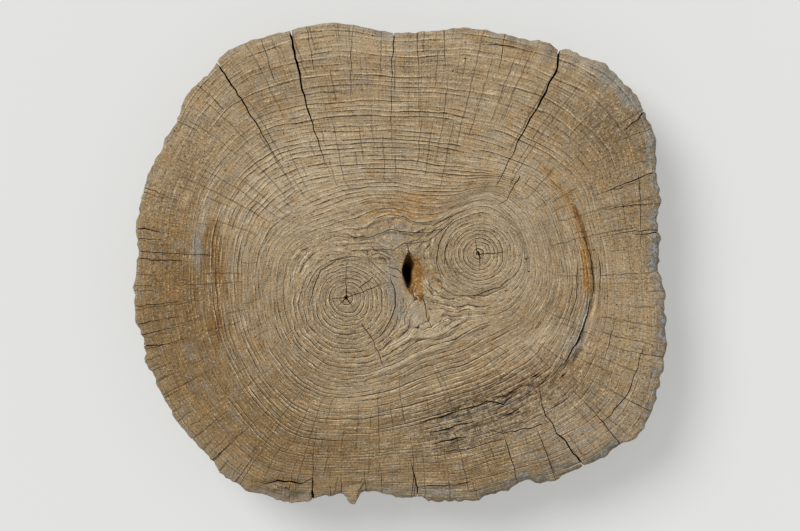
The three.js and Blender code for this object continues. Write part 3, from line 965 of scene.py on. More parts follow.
    def banded(self, x: Array, y: Array) -> Array:
        """Adds up the ridges, grooves and drops of all the bands.

        Args:
            x: Where the points lie.
            y: Where the points lie.

        Returns:
            The change of height at each point.
        """
        total = np.zeros(np.shape(x))
        wave = self.lumps[2](x / 9.0, y / 9.0)
        fine = self.lumps[3](x / 4.0, y / 4.0)
        broad = self.lumps[6](x / 17.0, y / 17.0)
        for band in self.bands:
            middle = np.array(band.path, float).mean(0)
            size = np.abs(np.array(band.path, float) - middle).max() * 1.5 + 3.0 * band.reach
            near = np.maximum(np.abs(x - middle[0]), np.abs(y - middle[1])) < size
            apart, share = beside(band.path, x[near], y[near])
            apart = apart + (0.12 + 0.3 * band.crumble) * band.reach * wave[near]
            ends = step(np.sin(np.pi * np.clip(share, 0.02, 0.98)), 0.05, 0.5)
            rough = 1.0 + band.crumble * (0.6 * wave[near] + 0.6 * fine[near])
            ridge = band.rise * fade(apart, band.reach) * rough
            beyond = apart - 0.75 * band.reach
            fallen = np.where(band.drop > 0, beyond, -apart - 0.75 * band.reach)
            fall = np.abs(band.drop) * fade(fallen, 0.8 * band.reach)
            gaps = 1.0 - band.crumble * 0.8 * step(broad[near], 0.0, 0.5)
            total[near] += ends * gaps * (ridge - fall * rough)
        return total

    def decay(self, x: Array, y: Array, phi: Array, ring: Array, c: Array, s: Array) -> Array:
        """How far decay has let the face down, or left a crumbly ridge standing, in millimetres.

        Args:
            x: Where the points lie.
            y: Where the points lie.
            phi: Their angles about the hub.
            ring: Their ring numbers.
            c: The cosine of the bearing where their ray leaves the wood.
            s: Its sine.

        Returns:
            The change of height, less than zero in a pit.
        """
        noise = self.lumps
        rot = self.rot(phi, ring)
        strokes = noise[7](c * 19.0, s * 19.0, ring * 0.8) + 0.7 * noise[6](c * 47.0, s * 47.0, ring * 1.7)
        rotten = self.rot_depth * rot * (strokes - 0.6)
        clods = noise[5](c * 13.0 + 9.0, s * 13.0, ring * 0.6)
        clods = clods + 0.5 * noise[2](c * 40.0, s * 40.0, ring * 1.5)
        pits = self.pit_depth * rot * step(clods, 0.46, 0.75)
        groove = self.groove_depth * self.groove(phi, ring) * (0.7 + 0.3 * noise[3](c * 30.0, s * 30.0))
        return rotten - pits - groove + self.banded(x, y)

    def shoulder_top(self, wear: Array) -> Array:
        """The height where the worn shoulder starts."""
        return self.thickness - self.crown_drop * wear

    def flank_top(self, wear: Array) -> Array:
        """The height where the worn shoulder ends."""
        return self.thickness - self.shoulder_drop * wear - self.shoulder_base


@dataclass(frozen=True)
class Level:
    """One loop of the skin: the surface it lies on and how far along that surface it is."""

    surface: Surface
    share: float


@dataclass(frozen=True)
class Cracks:
    """A row of seeded cracks that run in from the rim: their number, bearings in degrees and lengths."""

    count: int
    first: float
    sweep: float
    jitter: float
    lengths: Point

    def bearings(self, rng: np.random.Generator) -> list[float]:
        """Draws one bearing for each crack, each in its own share of the sweep."""
        low, high = 0.5 - self.jitter, 0.5 + self.jitter
        places = [k + rng.uniform(low, high) for k in range(self.count)]
        return [self.first + self.sweep * place / self.count for place in places]


@dataclass
class Slice:
    """The whole slice as one closed skin."""

    growth: GrowthField
    relief: Relief
    columns: int = 440
    loops_per_ring: float = 2.5
    core_loops: int = 42
    shoulder_loops: int = 5
    flank_loops: int = 13
    underside_loops: int = 2
    foot_chamfer: float = 3.0
    flute_depth: float = 2.4
    flute_start: float = 0.25
    outer_rings: float = 46.0
    worn_rings: float = 52.0
    hollow: tuple[tuple[float, Path], ...] = (
        (16, ((6, -4), (11, -5), (11.5, -11), (9, -17), (6, -14), (4.5, -8))),
        (64, ((5, 0), (9, -1), (11.3, -6), (11.3, -12), (10, -20), (7, -18), (3.6, -10))),
        (81, ((9, 11), (14, 4), (15.5, 0), (13.5, -9), (12.5, -22), (9, -26.5), (6.8, -22), (2.8, -10),
            (3, -3))),
        (83.5, ((9.7, 13.2), (14.5, 6.5), (17.8, 0.6), (14.6, -9.8), (13.7, -24.5), (9, -28),
            (6.9, -23.5), (2.6, -10), (2.9, -3.5))),
        (87, ((9.8, 13.8), (16, 6.5), (20.5, 1.5), (26.5, -9), (27.5, -19), (23, -27), (23.5, -37),
            (19, -37.5), (12, -30.5), (6.7, -24), (2.4, -10), (2.7, -3))),
        (90, ((10, 14.6), (17, 7), (22, 2), (28.5, -9), (30, -19), (25.5, -27), (25, -39), (18.5, -39.5),
            (11, -31), (6, -24), (2, -10), (2.3, -2.5))),
    )
    wall_heights: tuple[float, ...] = (16, 30, 46, 60, 70, 77, 81, 82.3, 83.5, 86, 88)
    tip_width: float = 0.35
    face_level: float = 86.0
    # Depths at which the hollow's painted shade starts on its wall and deepens to near black
    wall_starts: Point = (6.9, 8.4)
    wall_darkens: Point = (12.0, 40.0)
    mouth_margin: float = 1.5
    underside_height: float = 0.6
    hairlines: Cracks = Cracks(count=30, first=0.0, sweep=360.0, jitter=0.35, lengths=(22, 95))
    edge_cracks: Cracks = Cracks(count=30, first=172.0, sweep=100.0, jitter=0.3, lengths=(16, 62))
    crack_widths: Point = (0.8, 1.3)
    crack_depths: Point = (8, 24)
    crack_tip_depth: float = 2.0
    crack_stride: float = 7.0
    rim_margin: float = 4.0
    jag: float = 0.8
    jag_stride: float = 6.0
    above_face: float = 3.0
    open_side: Arc = Arc(bearing=-10, reach=80)
    calm_side: Arc = Arc(bearing=-138, reach=62)
    grey_side: Arc = Arc(bearing=-20, reach=120)
    bare_corner: Arc = Arc(bearing=50, reach=24)
    seed: int = 11
    checks: tuple[Check, ...] = CHECKS
    pinholes: Path = (
        (-60, -38), (-60.6, -37.2),
        (6, 248), (11, 243), (34, 251), (30, 231), (73, 247), (73, 229), (59, 215), (-41, 260), (-31, 255),
        (242, -46), (141, 5), (144, -9), (205, 15), (206, 12), (217, 15),
    )

    def levels(self) -> list[Level]:
        """Lists the skin's loops, from the floor of the hollow outwards and under."""
        rings = self.growth.last_ring - self.growth.fused_ring
        counts = {
            Surface.WALL: len(self.wall_heights),
            Surface.CORE: self.core_loops,
            Surface.RINGS: int(rings * self.loops_per_ring),
            Surface.SHOULDER: self.shoulder_loops,
            Surface.FLANK: self.flank_loops,
            Surface.UNDERSIDE: self.underside_loops,
        }
        return [Level(surface, k / count) for surface, count in counts.items() for k in range(count)]

    def spun_blank(self, count: int) -> bpy.types.Mesh:
        """Spins a straight row of points into a flat disc of loops, one unit apart.

        Args:
            count: How many loops the disc has.

        Returns:
            The disc's mesh, still open inside its first loop and outside its last.
        """
        bm = bmesh.new()
        row = [bm.verts.new((1.0 + k, 0.0, 0.0)) for k in range(count)]
        edges = [bm.edges.new(pair) for pair in zip(row, row[1:])]
        bmesh.ops.spin(
            bm, geom=row + edges, cent=(0, 0, 0), axis=(0, 0, 1), angle=2 * math.pi, steps=self.columns,
            use_merge=True,
        )
        bmesh.ops.recalc_face_normals(bm, faces=bm.faces)
        up = sum(face.normal.z for face in bm.faces)
        if up < 0:
            bmesh.ops.reverse_faces(bm, faces=bm.faces)
        return finished(bm, "blank")

    def placed(self, levels: Sequence[Level], index: Array, phi: Array) -> tuple[Array, Array, Array]:
        """Moves every point of the flat disc to its place in the slice.

        Args:
            levels: The skin's loops.
            index: Each point's loop.
            phi: Each point's angle about the hub.

        Returns:
            The points' places along X, Y and Z.
        """
        growth, relief = self.growth, self.relief
        share = np.array([level.share for level in levels])[index]
        surface = np.array([level.surface for level in levels])[index]
        rim = growth.at_bearing(growth.rim, phi) - relief.teeth(phi)
        wear = relief.wear(phi)
        mouth = growth.at_bearing(growth.radius_about(self.hollow[-1][1]), phi)
        core = mouth + (growth.at_bearing(growth.fused, phi) - mouth) * share
        ring = growth.fused_ring + (growth.last_ring - growth.fused_ring) * share
        last = growth.ring_radius(phi, np.full(phi.shape, growth.last_ring))
        ringed = growth.ring_radius(phi, ring)
        ringed = ringed + (rim - wear - last) * step(ring, self.outer_rings, growth.last_ring)
        swing = share * math.pi / 2
        turned = rim - wear * (1.0 - np.sin(swing))
        top = relief.flank_top(wear)
        flank_height = top + (self.foot_chamfer - top) * share
        fluted = self.flutes(phi, flank_height, surface, share)
        foot = rim - self.flutes(phi, np.zeros(phi.shape), surface, np.ones(phi.shape)) - self.foot_chamfer
        radius = np.select(
            [surface == kind for kind in Surface],
            [self.wall_radius(phi, share), core, ringed, turned - fluted, rim - fluted, foot * (1.0 - share)],
        )
        x = growth.hub[0] + radius * np.cos(phi)
        y = growth.hub[1] + radius * np.sin(phi)
        face = relief.height(x, y, growth)
        worn_face = face - relief.crown_drop * wear * step(ring, self.worn_rings, growth.last_ring) ** 2
        crown = relief.shoulder_top(wear)
        rough = (face - relief.thickness) * (1.0 - share) * 0.8
        shoulder = crown - (crown - top) * (1.0 - np.cos(swing)) + rough
        height = np.select(
            [surface == kind for kind in Surface],
            [self.wall_height(share), face, worn_face, shoulder, flank_height, np.zeros(phi.shape)],
        )
        return x, y, height

    def wall_radius(self, phi: Array, share: Array) -> Array:
        """The hollow's radius about the hub at a share of its height.

        Args:
            phi: Angles about the hub.
            share: Shares of the height.

        Returns:
            The radii.
        """
        heights = np.array([height for height, _ in self.hollow], float)
        tables = np.array([self.growth.radius_about(outline) for _, outline in self.hollow])
        radii = np.array([self.growth.at_bearing(table, phi) for table in tables])
        height = self.wall_height(share)
        total = np.zeros(phi.shape)
        for k in range(len(heights) - 1):
            part = np.clip((height - heights[k]) / (heights[k + 1] - heights[k]), 0, 1)
            inside = (height >= heights[k]) & (height <= heights[k + 1])
            total = np.where(inside, radii[k] + (radii[k + 1] - radii[k]) * part, total)
        rough = 0.6 * self.relief.lumps[2](np.cos(phi) * 2.0, np.sin(phi) * 2.0, height / 5.0)
        return np.where(share > 0.0, total + rough, 0.35 * total)

    def wall_height(self, share: Array) -> Array:
        """The height on the hollow's wall, loop by loop up to the mouth."""
        heights = (*self.wall_heights, self.hollow[-1][0])
        return np.interp(share * len(self.wall_heights), np.arange(len(heights)), heights)

    def flutes(self, phi: Array, height: Array, surface: Array, share: Array) -> Array:
        """How far the flank stands in from the rim: long upright flutes that wander a little.

        Args:
            phi: Angles about the hub.
            height: Heights above the underside.
            surface: The surface that each point lies on.
            share: How far along its surface each point is.

        Returns:
            The distance in millimetres.
        """
        noise = self.relief.lumps
        c, s = np.cos(phi), np.sin(phi)
        start = self.flute_start
        down_flank = start + (1.0 - start) * step(share, 0.0, 0.3)
        depth = np.where(surface == Surface.SHOULDER, share * start, down_flank)
        broad = 0.5 + 0.5 * noise[4](c * 12.0, s * 12.0, height / 70.0)
        narrow = 1.0 - np.abs(noise[5](c * 34.0, s * 34.0, height / 90.0))
        fine = 1.0 - np.abs(noise[6](c * 70.0, s * 70.0, height / 45.0))
        return depth * (self.flute_depth * broad + 1.5 * narrow**2 + 0.8 * fine)

    def build(self) -> bpy.types.Object:
        """Models the skin, cuts the checks and gives every point its attributes.

        Returns:
            The finished object, with its place in its mesh.
        """
        levels = self.levels()
        mesh = self.spun_blank(len(levels))
        flat = read_points(mesh)
        index = np.rint(np.hypot(flat[:, 0], flat[:, 1])).astype(int) - 1
        phi = np.arctan2(flat[:, 1], flat[:, 0])
        place = np.stack(self.placed(levels, index, phi), -1)
        write_points(mesh, self.fitted(place) * MM)
        close_holes(mesh)
        mark_material(mesh, 0)
        disc = link(NODE + "_visual", mesh)
        LOG.info("skin: %d loops, %d faces", len(levels), len(mesh.polygons))
        self.cut(disc)
        self.mark(disc.data)
        return disc

    def fitted(self, place: Array) -> Array:
        """Scales the skin a little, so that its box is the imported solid's box."""
        low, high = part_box(NODE)
        target_low, target_high = np.array(low) / MM, np.array(high) / MM
        own_low, own_high = place.min(0), place.max(0)
        return target_low + (place - own_low) / (own_high - own_low) * (target_high - target_low)

    def cut(self, disc: bpy.types.Object) -> None:
        """Cuts the checks, seeded cracks and pinholes out of the disc.

        Args:
            disc: The closed disc, whose mesh is replaced.
        """
        cutters = bpy.data.collections.new("cutters")
        bpy.context.scene.collection.children.link(cutters)
        rng = np.random.default_rng(self.seed)
        named = [self.check_room(check, rng) for check in self.checks]
        seeded = [self.check_room(check, rng) for check in self.seeded_cracks(rng)]
        holes = [self.pinhole_room(point, rng) for point in self.pinholes]
        for k, mesh in enumerate(named + seeded + holes):
            cutters.objects.link(bpy.data.objects.new(f"cutter_{k}", mesh))
        boolean = disc.modifiers.new("checks", "BOOLEAN")
        boolean.operation = "DIFFERENCE"
        boolean.operand_type = "COLLECTION"
        boolean.collection = cutters
        boolean.solver = "MANIFOLD"
        for cutter in cutters.objects:
            mark_material(cutter.data, 1)
        apply_modifiers(disc)
        for cutter in list(cutters.objects):
            bpy.data.objects.remove(cutter)
        bpy.data.collections.remove(cutters)
        keep_largest(disc.data)
        store_cuts(disc.data)
        LOG.info("cut: %d named checks, %d seeded cracks, %d pinholes", len(named), len(seeded), len(holes))

    def seeded_cracks(self, rng: np.random.Generator) -> list[Check]:
        """Draws the short cracks that run in from the rim along the rays.

        Args:
            rng: Draws their places and sizes.

        Returns:
            The cracks, as checks.
        """
        growth = self.growth
        rows = [(row, degrees) for row in (self.hairlines, self.edge_cracks) for degrees in row.bearings(rng)]
        checks = []
        for row, degrees in rows:
            phi = math.radians(degrees if degrees < 180.0 else degrees - 360.0)
            radius = float(growth.at_bearing(growth.rim, np.array(phi))) + self.rim_margin
            start = (growth.hub[0] + radius * math.cos(phi), growth.hub[1] + radius * math.sin(phi))
            path = growth.ray_inwards(start, rng.uniform(*row.lengths), self.crack_stride)
            width, depth = rng.uniform(*self.crack_widths), rng.uniform(*self.crack_depths)
            checks.append(Check(tuple(path), width, depth, self.crack_tip_depth))
        return checks

    def check_room(self, check: Check, rng: np.random.Generator) -> bpy.types.Mesh:
        """Models the room that a check opens: a wedge along a slightly jagged path.

        Args:
            check: The check.
            rng: Draws the jags.

        Returns:
            A closed mesh, in metres.
        """
        path = refined(check.path, self.jag_stride)
        bm = bmesh.new()
        bmesh.ops.create_circle(bm, cap_ends=True, segments=3, radius=MM)
        bm.faces.ensure_lookup_table()
        front = bm.faces[0]
        row = list(front.verts)
        for k in range(len(path)):
            if k > 0:
                grown = bmesh.ops.extrude_face_region(bm, geom=[front])
                if k > 1:
                    bmesh.ops.delete(bm, geom=[front], context="FACES_ONLY")
                front = next(item for item in grown["geom"] if isinstance(item, bmesh.types.BMFace))
                ahead = set(front.verts)
                ways = [edge.other_vert(vert) for vert in row for edge in vert.link_edges]
                row = [vert for vert in ways if vert in ahead]
            for vert, corner in zip(row, self.check_section(check, path, k, rng)):
                vert.co = Vector(corner) * MM
        bmesh.ops.recalc_face_normals(bm, faces=bm.faces)
        return finished(bm, "check_room")

    def check_section(
        self, check: Check, path: Array, k: int, rng: np.random.Generator
    ) -> tuple[tuple[float, float, float], ...]:
        """Gives the three corners of a check's section at one point of its path.

        Args:
            check: The check.
            path: The points of its path.
            k: Which point.
            rng: Draws the jags.

        Returns:
            The right lip, the keel and the left lip, in millimetres.
        """
        x, y = path[k]
        ahead = path[min(k + 1, len(path) - 1)] - path[max(k - 1, 0)]
        along = ahead / (np.linalg.norm(ahead) + 1e-9)
        share = k / (len(path) - 1)
        open_share = math.sin(math.pi * (0.04 + 0.92 * share)) if check.tapers_both_ways else 1.0 - share
        width = self.tip_width + (check.width - self.tip_width) * open_share ** 0.8
        half = 0.5 * width * rng.uniform(0.8, 1.15)
        depth = check.tip_depth + (check.depth - check.tip_depth) * open_share ** 1.5
        above = self.relief.thickness + self.above_face
        keel = self.face_level - depth
        half = half * (above - keel) / depth
        aside = rng.uniform(-self.jag, self.jag) if 0 < k < len(path) - 1 else 0.0
        middle = np.array([x - along[1] * aside, y + along[0] * aside])
        out = np.array([along[1], -along[0]]) * half
        return (*(middle + out), above), (*middle, keel), (*(middle - out), above)

    def pinhole_room(self, point: Point, rng: np.random.Generator) -> bpy.types.Mesh:
        """Models the room of one pinhole: a slim cone that leans a little.

        Args:
            point: Where the hole is.
            rng: Draws its width and lean.

        Returns:
            A closed mesh, in metres.
        """
        bm = bmesh.new()
        bmesh.ops.create_cone(
            bm, cap_ends=True, segments=7, radius1=0.3 * MM, radius2=rng.uniform(1.0, 1.7) * MM, depth=16 * MM
        )
        lean = Matrix.Rotation(rng.uniform(-0.3, 0.3), 4, "X")
        at = Vector((point[0], point[1], self.face_level)) * MM
        bmesh.ops.transform(bm, matrix=Matrix.Translation(at) @ lean, verts=bm.verts)
        return finished(bm, "pinhole_room")

    def mark(self, mesh: bpy.types.Mesh) -> None:
        """Gives every point its ring, ray, place and stains, for the finish to follow.

        Args:
            mesh: The finished mesh, in metres.
        """
        x, y, z = (read_points(mesh) / MM).T
        growth = self.growth
        phi, _ = growth.polar(x, y)
        ring = growth.ring_at(x, y)
        ray = growth.grain_at(x, y)
        pitch = growth.sample(growth.pitch_grid, x, y)
        stains = {stain: stain_at(stain, x, y) for stain in Stain}
        calm = self.calm_side.share(phi) * step(ring, 34.0, 46.0)
        smooth = np.maximum(stains[Stain.SMOOTH], 0.5 * calm)
        rot = np.clip(self.relief.rot(phi, ring) + 0.5 * stains[Stain.ROUGH], 0.0, 1.0)
        decay = self.relief.decay(x, y, phi, ring, ray[:, 0], ray[:, 1])
        # Painted highlight: crests that decay left standing are painted pale, over the pale stains
        pale = np.maximum(stains[Stain.PALE], 0.9 * step(decay, 0.8, 2.4))
        flank, fringe = self.edge_marks(phi, ring, z, self.inset(x, y))
        flank = flank * (z >= self.underside_height)
        for name, parts in {
            "growth": (ray[:, 0], ray[:, 1], ring),
            "spacing": (pitch, growth.spread_at(x, y), smooth),
            "place": (flank, fringe, self.hollow_shade_mark(x, y, z)),
            "stain": (stains[Stain.GREY], stains[Stain.AMBER], stains[Stain.BROWN]),
            # The wear attribute holds pale stains with painted highlights on crests, painted shade in sunk
            # places, and rot
            "wear": (pale, step(-decay, 2.8, 8.0), rot),
        }.items():
            write_vectors(mesh, name, np.stack(parts, -1))

    def inset(self, x: Array, y: Array) -> Array:
        """How far points lie in from the nibbled rim."""
        phi, radius = self.growth.polar(x, y)
        return self.growth.at_bearing(self.growth.rim, phi) - self.relief.teeth(phi) - radius

    def edge_marks(self, phi: Array, ring: Array, z: Array, inset: Array) -> tuple[Array, Array]:
        """Tells the flank and the worn, greyed edge from the face.

        Args:
            phi: The points' angles about the hub.
            ring: Their ring numbers.
            z: Their heights.
            inset: How far they lie in from the rim.

        Returns:
            1 on the flank and 0 on the face, and how grey the edge is from 0 to 1.
        """
        wear = self.relief.wear(phi)
        top = self.relief.flank_top(wear)
        flank = (1.0 - step(z, top - 3.0, top + 3.0)) * step(ring, 50.0, 54.0)
        worn = step(wear * 1.3 + 2.5 + 4.5 * self.open_side.share(phi) - inset, 0.0, 6.0) * (1.0 - flank)
        fringe = worn * (0.3 + 0.7 * self.grey_side.share(phi))
        return flank, fringe * (1.0 - 0.6 * self.bare_corner.share(phi))

    def hollow_shade_mark(self, x: Array, y: Array, z: Array) -> Array:
        """Marks the hollow's painted shade: half on the upper part of its wall, rising to 1 in its depth."""
        phi, radius = self.growth.polar(x, y)
        mouth = self.growth.at_bearing(self.growth.radius_about(self.hollow[-1][1]), phi)
        depth = self.face_level - z
        sunk_in = 0.5 * step(depth, *self.wall_starts) + 0.5 * step(depth, *self.wall_darkens)
        return step(mouth + self.mouth_margin - radius, 0.0, 2.0) * sunk_in


def stain_at(stain: Stain, x: Array, y: Array) -> Array:
    """Adds up the patches and streaks of one stain, as numbers from 0 to 1.

    Args:
        stain: The stain.
        x: Where the points lie.
        y: Where the points lie.

    Returns:
        The stain's strength at each point.
    """
    total = np.zeros(np.shape(x))
    for patch in PATCHES.get(stain, ()):
        turn = math.radians(patch.turn)
        dx, dy = x - patch.middle[0], y - patch.middle[1]
        u = (dx * math.cos(turn) + dy * math.sin(turn)) / patch.half_size[0]
        v = (dy * math.cos(turn) - dx * math.sin(turn)) / patch.half_size[1]
        total = total + patch.strength * fade(np.hypot(u, v), 1.0)
    for streak in STREAKS.get(stain, ()):
        apart, _ = beside(streak.path, x, y)
        total = total + streak.strength * fade(apart, streak.reach)
    return np.clip(total, 0.0, 1.0)


def mark_material(mesh: bpy.types.Mesh, index: int) -> None:
    """Puts all of a mesh's faces in one of two material slots, so that a cut can be told from the skin."""
    mesh.materials.clear()
    for name in ("skin_mark", "cut_mark"):
        mesh.materials.append(bpy.data.materials.get(name) or bpy.data.materials.new(name))
    mesh.polygons.foreach_set("material_index", np.full(len(mesh.polygons), index, np.int32))


def store_cuts(mesh: bpy.types.Mesh) -> None:
    """Notes on each face whether a cut made it, and clears the marks that told so.

    Args:
        mesh: The mesh that the cuts were made in.
    """
    marks = np.empty(len(mesh.polygons), np.int32)
    mesh.polygons.foreach_get("material_index", marks)
    attribute = mesh.attributes.new("cut", "FLOAT", "FACE")
    attribute.data.foreach_set("value", (marks > 0).astype(np.float32))
    mesh.polygons.foreach_set("material_index", np.zeros(len(mesh.polygons), np.int32))
    mesh.materials.clear()
    LOG.info("faces made by cuts: %d of %d", int((marks > 0).sum()), len(marks))


def read_points(mesh: bpy.types.Mesh) -> Array:
    """Reads a mesh's points as rows."""
    flat = np.empty(len(mesh.vertices) * 3)
    mesh.vertices.foreach_get("co", flat)
    return flat.reshape(-1, 3)


def write_points(mesh: bpy.types.Mesh, points: Array) -> None:
    """Moves a mesh's points."""
    mesh.vertices.foreach_set("co", np.ascontiguousarray(points).ravel())
    mesh.update()


def write_vectors(mesh: bpy.types.Mesh, name: str, values: Array) -> None:
    """Stores three numbers for each point under a name that the finish reads."""
    attribute = mesh.attributes.new(name, "FLOAT_VECTOR", "POINT")
    attribute.data.foreach_set("vector", np.ascontiguousarray(values, np.float32).ravel())


def close_holes(mesh: bpy.types.Mesh) -> None:
    """Closes the skin inside its first and last loops, and splits both faces into fans.

    Args:
        mesh: The skin, open at both ends.
    """
    bm = bmesh.new()
    bm.from_mesh(mesh)
    open_edges = [edge for edge in bm.edges if edge.is_boundary]
    filled = bmesh.ops.holes_fill(bm, edges=open_edges, sides=0)
    bmesh.ops.poke(bm, faces=filled["faces"])
    bmesh.ops.recalc_face_normals(bm, faces=bm.faces)
    bm.to_mesh(mesh)
    bm.free()


def finished(bm: bmesh.types.BMesh, name: str) -> bpy.types.Mesh:
    """Turns a bmesh into a mesh and frees it."""
    mesh = bpy.data.meshes.new(name)
    bm.to_mesh(mesh)
    bm.free()
    return mesh


def link(name: str, mesh: bpy.types.Mesh) -> bpy.types.Object:
    """Puts a mesh in the scene as an object at the origin."""
    made = bpy.data.objects.new(name, mesh)
    bpy.context.scene.collection.objects.link(made)
    return made


def apply_modifiers(obj: bpy.types.Object) -> None:
    """Replaces an object's mesh by what its modifiers make of it."""
    depsgraph = bpy.context.evaluated_depsgraph_get()
    mesh = bpy.data.meshes.new_from_object(obj.evaluated_get(depsgraph))
    obj.modifiers.clear()
    obj.data = mesh


def keep_largest(mesh: bpy.types.Mesh) -> None:
    """Deletes crumbs that a cut has freed, and keeps the one large body.

    Args:
        mesh: The mesh, which is changed.
    """
    bm = bmesh.new()
    bm.from_mesh(mesh)
    left = set(bm.verts)
    bodies: list[set[bmesh.types.BMVert]] = []
    while left:
        seed = left.pop()
        body, front = {seed}, [seed]
        while front:
            for edge in front.pop().link_edges:
                for vert in edge.verts:
                    if vert in left:
                        left.remove(vert)
                        body.add(vert)
                        front.append(vert)
        bodies.append(body)
    bodies.sort(key=len)
    crumbs = [vert for body in bodies[:-1] for vert in body]
    bmesh.ops.delete(bm, geom=crumbs, context="VERTS")
    bm.to_mesh(mesh)
    bm.free()


def refined(path: Sequence[Point], stride: float) -> Array:
    """Splits a path's long spans, so that no span is longer than about the stride.

    Args:
        path: The path.
        stride: The longest span, in millimetres.

    Returns:
        The path's points, one row each.
    """
    points = [np.array(path[0], float)]
    for start, end in zip(path, path[1:]):
        a, b = np.array(start, float), np.array(end, float)
        parts = max(1, round(np.linalg.norm(b - a) / stride))
        points += [a + (b - a) * (k + 1) / parts for k in range(parts)]
    return np.array(points)


def light_of(paint: Colour) -> tuple[float, float, float, float]:
    """Turns a colour as it looks on a screen, from 0 to 255, into the light it stands for."""
    shares = [part / 255.0 for part in paint]
    light = [share / 12.92 if share <= 0.04045 else ((share + 0.055) / 1.055) ** 2.4 for share in shares]
    return (*light, 1.0)


class Nodes:
    """Adds and joins the nodes of one material."""

    def __init__(self, material: bpy.types.Material) -> None:
        """Starts with an empty node tree."""
        material.use_nodes = True
        self.tree = material.node_tree
        self.tree.nodes.clear()

    def add(self, kind: str, **settings: object) -> bpy.types.Node:
        """Adds a node and sets its properties."""
        node = self.tree.nodes.new(kind)
        for name, value in settings.items():
            setattr(node, name, value)
        return node

    def feed(self, socket: bpy.types.NodeSocket, value: object) -> None:
        """Joins a socket to a signal, or sets its value."""
        if isinstance(value, Signal):
            self.tree.links.new(value.socket, socket)
        else:
            socket.default_value = value

    def made(self, kind: str, values: Sequence[object], **settings: object) -> "Signal":
        """Adds a node, feeds its first sockets and gives its first output."""
        node = self.add(kind, **settings)
        for socket, value in zip(node.inputs, values):
            self.feed(socket, value)
        return Signal(self, node.outputs[0])

    def math(self, operation: str, *values: "Signal | float") -> "Signal":
        """Works on one or two numbers."""
        return self.made("ShaderNodeMath", values, operation=operation)

    def mix(self, share: "Signal | float", first: "Signal | Colour", second: "Signal | Colour") -> "Signal":
        """Mixes two colours.

        Args:
            share: How much of the second.
            first: One colour.
            second: The other.

        Returns:
            The mixed colour.
        """
        node = self.add("ShaderNodeMix", data_type="RGBA")
        self.feed(node.inputs[0], share)
        for socket, paint in zip(node.inputs[6:8], (first, second)):
            self.feed(socket, paint if isinstance(paint, Signal) else light_of(paint))
        return Signal(self, node.outputs[2])

    def joined(self, *parts: "Signal") -> "Signal":
        """Makes a vector of two or three numbers."""
        return self.made("ShaderNodeCombineXYZ", parts)

    def split(self, vector: "Signal") -> list["Signal"]:
        """Takes a vector apart into its three numbers."""
        node = self.add("ShaderNodeSeparateXYZ")
        self.feed(node.inputs[0], vector)
        return [Signal(self, output) for output in node.outputs]

    def drawn(self, number: "Signal") -> "Signal":
        """Draws a value from 0 to 1 for each whole number."""
        node = self.add("ShaderNodeTexWhiteNoise", noise_dimensions="1D")
        self.feed(node.inputs["W"], number)
        return Signal(self, node.outputs["Value"])

    def noise(
        self, vector: "Signal", detail: float = 2.0, rough: float = 0.5, dimensions: str = "3D"
    ) -> "Signal":
        """Reads noise from about 0 to 1, with one lump for each unit of the vector."""
        node = self.add("ShaderNodeTexNoise", noise_dimensions=dimensions)
        self.feed(node.inputs["Vector"], vector)
        for name, value in (("Scale", 1.0), ("Detail", detail), ("Roughness", rough)):
            node.inputs[name].default_value = value
        return Signal(self, node.outputs["Fac"])

    def attribute(self, name: str) -> list["Signal"]:
        """Reads a point attribute, as its vector and its three numbers."""
        node = self.add("ShaderNodeAttribute", attribute_type="GEOMETRY", attribute_name=name)
        vector = Signal(self, node.outputs["Vector"])
        return [vector, *self.split(vector)]

    def finish(self, settings: dict[str, object]) -> None:
        """Adds the surface's shader with its sockets fed, and joins it to the output."""
        shader = self.add("ShaderNodeBsdfPrincipled")
        for name, value in settings.items():
            self.feed(shader.inputs[name], value)
        output = self.add("ShaderNodeOutputMaterial")
        self.tree.links.new(shader.outputs[0], output.inputs["Surface"])


class Signal:
    """A number, a vector or a colour on its way from one node to another."""

    def __init__(self, nodes: Nodes, socket: bpy.types.NodeSocket) -> None:
        """Notes the socket that the signal comes out of."""
        self.nodes = nodes
        self.socket = socket

    def __add__(self, other: "Signal | float") -> "Signal":
        """Adds a signal or a number."""
        return self.nodes.math("ADD", self, other)

    def __sub__(self, other: "Signal | float") -> "Signal":
        """Takes a signal or a number away."""
        return self.nodes.math("SUBTRACT", self, other)

    def __rsub__(self, other: float) -> "Signal":
        """Takes the signal away from a number."""
        return self.nodes.math("SUBTRACT", other, self)

    def __mul__(self, other: "Signal | float") -> "Signal":
        """Multiplies by a signal or a number."""
        return self.nodes.math("MULTIPLY", self, other)

    def size(self) -> "Signal":
        """Drops the sign."""
        return self.nodes.math("ABSOLUTE", self)

    def floor(self) -> "Signal":
        """Rounds down to a whole number."""
        return self.nodes.math("FLOOR", self)

    def fraction(self) -> "Signal":
        """Keeps what is left over the whole number below."""
        return self.nodes.math("FRACT", self)

    def at_most(self, limit: "Signal | float") -> "Signal":
        """Gives the smaller of two numbers."""
        return self.nodes.math("MINIMUM", self, limit)

    def at_least(self, limit: "Signal | float") -> "Signal":
        """Gives the larger of two numbers."""
        return self.nodes.math("MAXIMUM", self, limit)

    def centred(self, gain: float) -> "Signal":
        """Turns noise about a half into a tone about zero."""
        return self * (2.0 * gain) - gain

    def scaled(self, scale: tuple[float, float, float]) -> "Signal":
        """Scales a vector along its axes."""
        return self.nodes.made("ShaderNodeVectorMath", (self, scale), operation="MULTIPLY")

    def span(self, low: float, high: float, to_low: float = 0.0, to_high: float = 1.0) -> "Signal":
        """Maps a range of numbers to another, with smooth ends."""
        values = (self, low, high, to_low, to_high)
        return self.nodes.made("ShaderNodeMapRange", values, interpolation_type="SMOOTHSTEP")

    def coated(self, paint: "Signal | Colour", share: "Signal | float") -> "Signal":
        """Lays a share of another colour over this one."""
        return self.nodes.mix(share, self, paint)


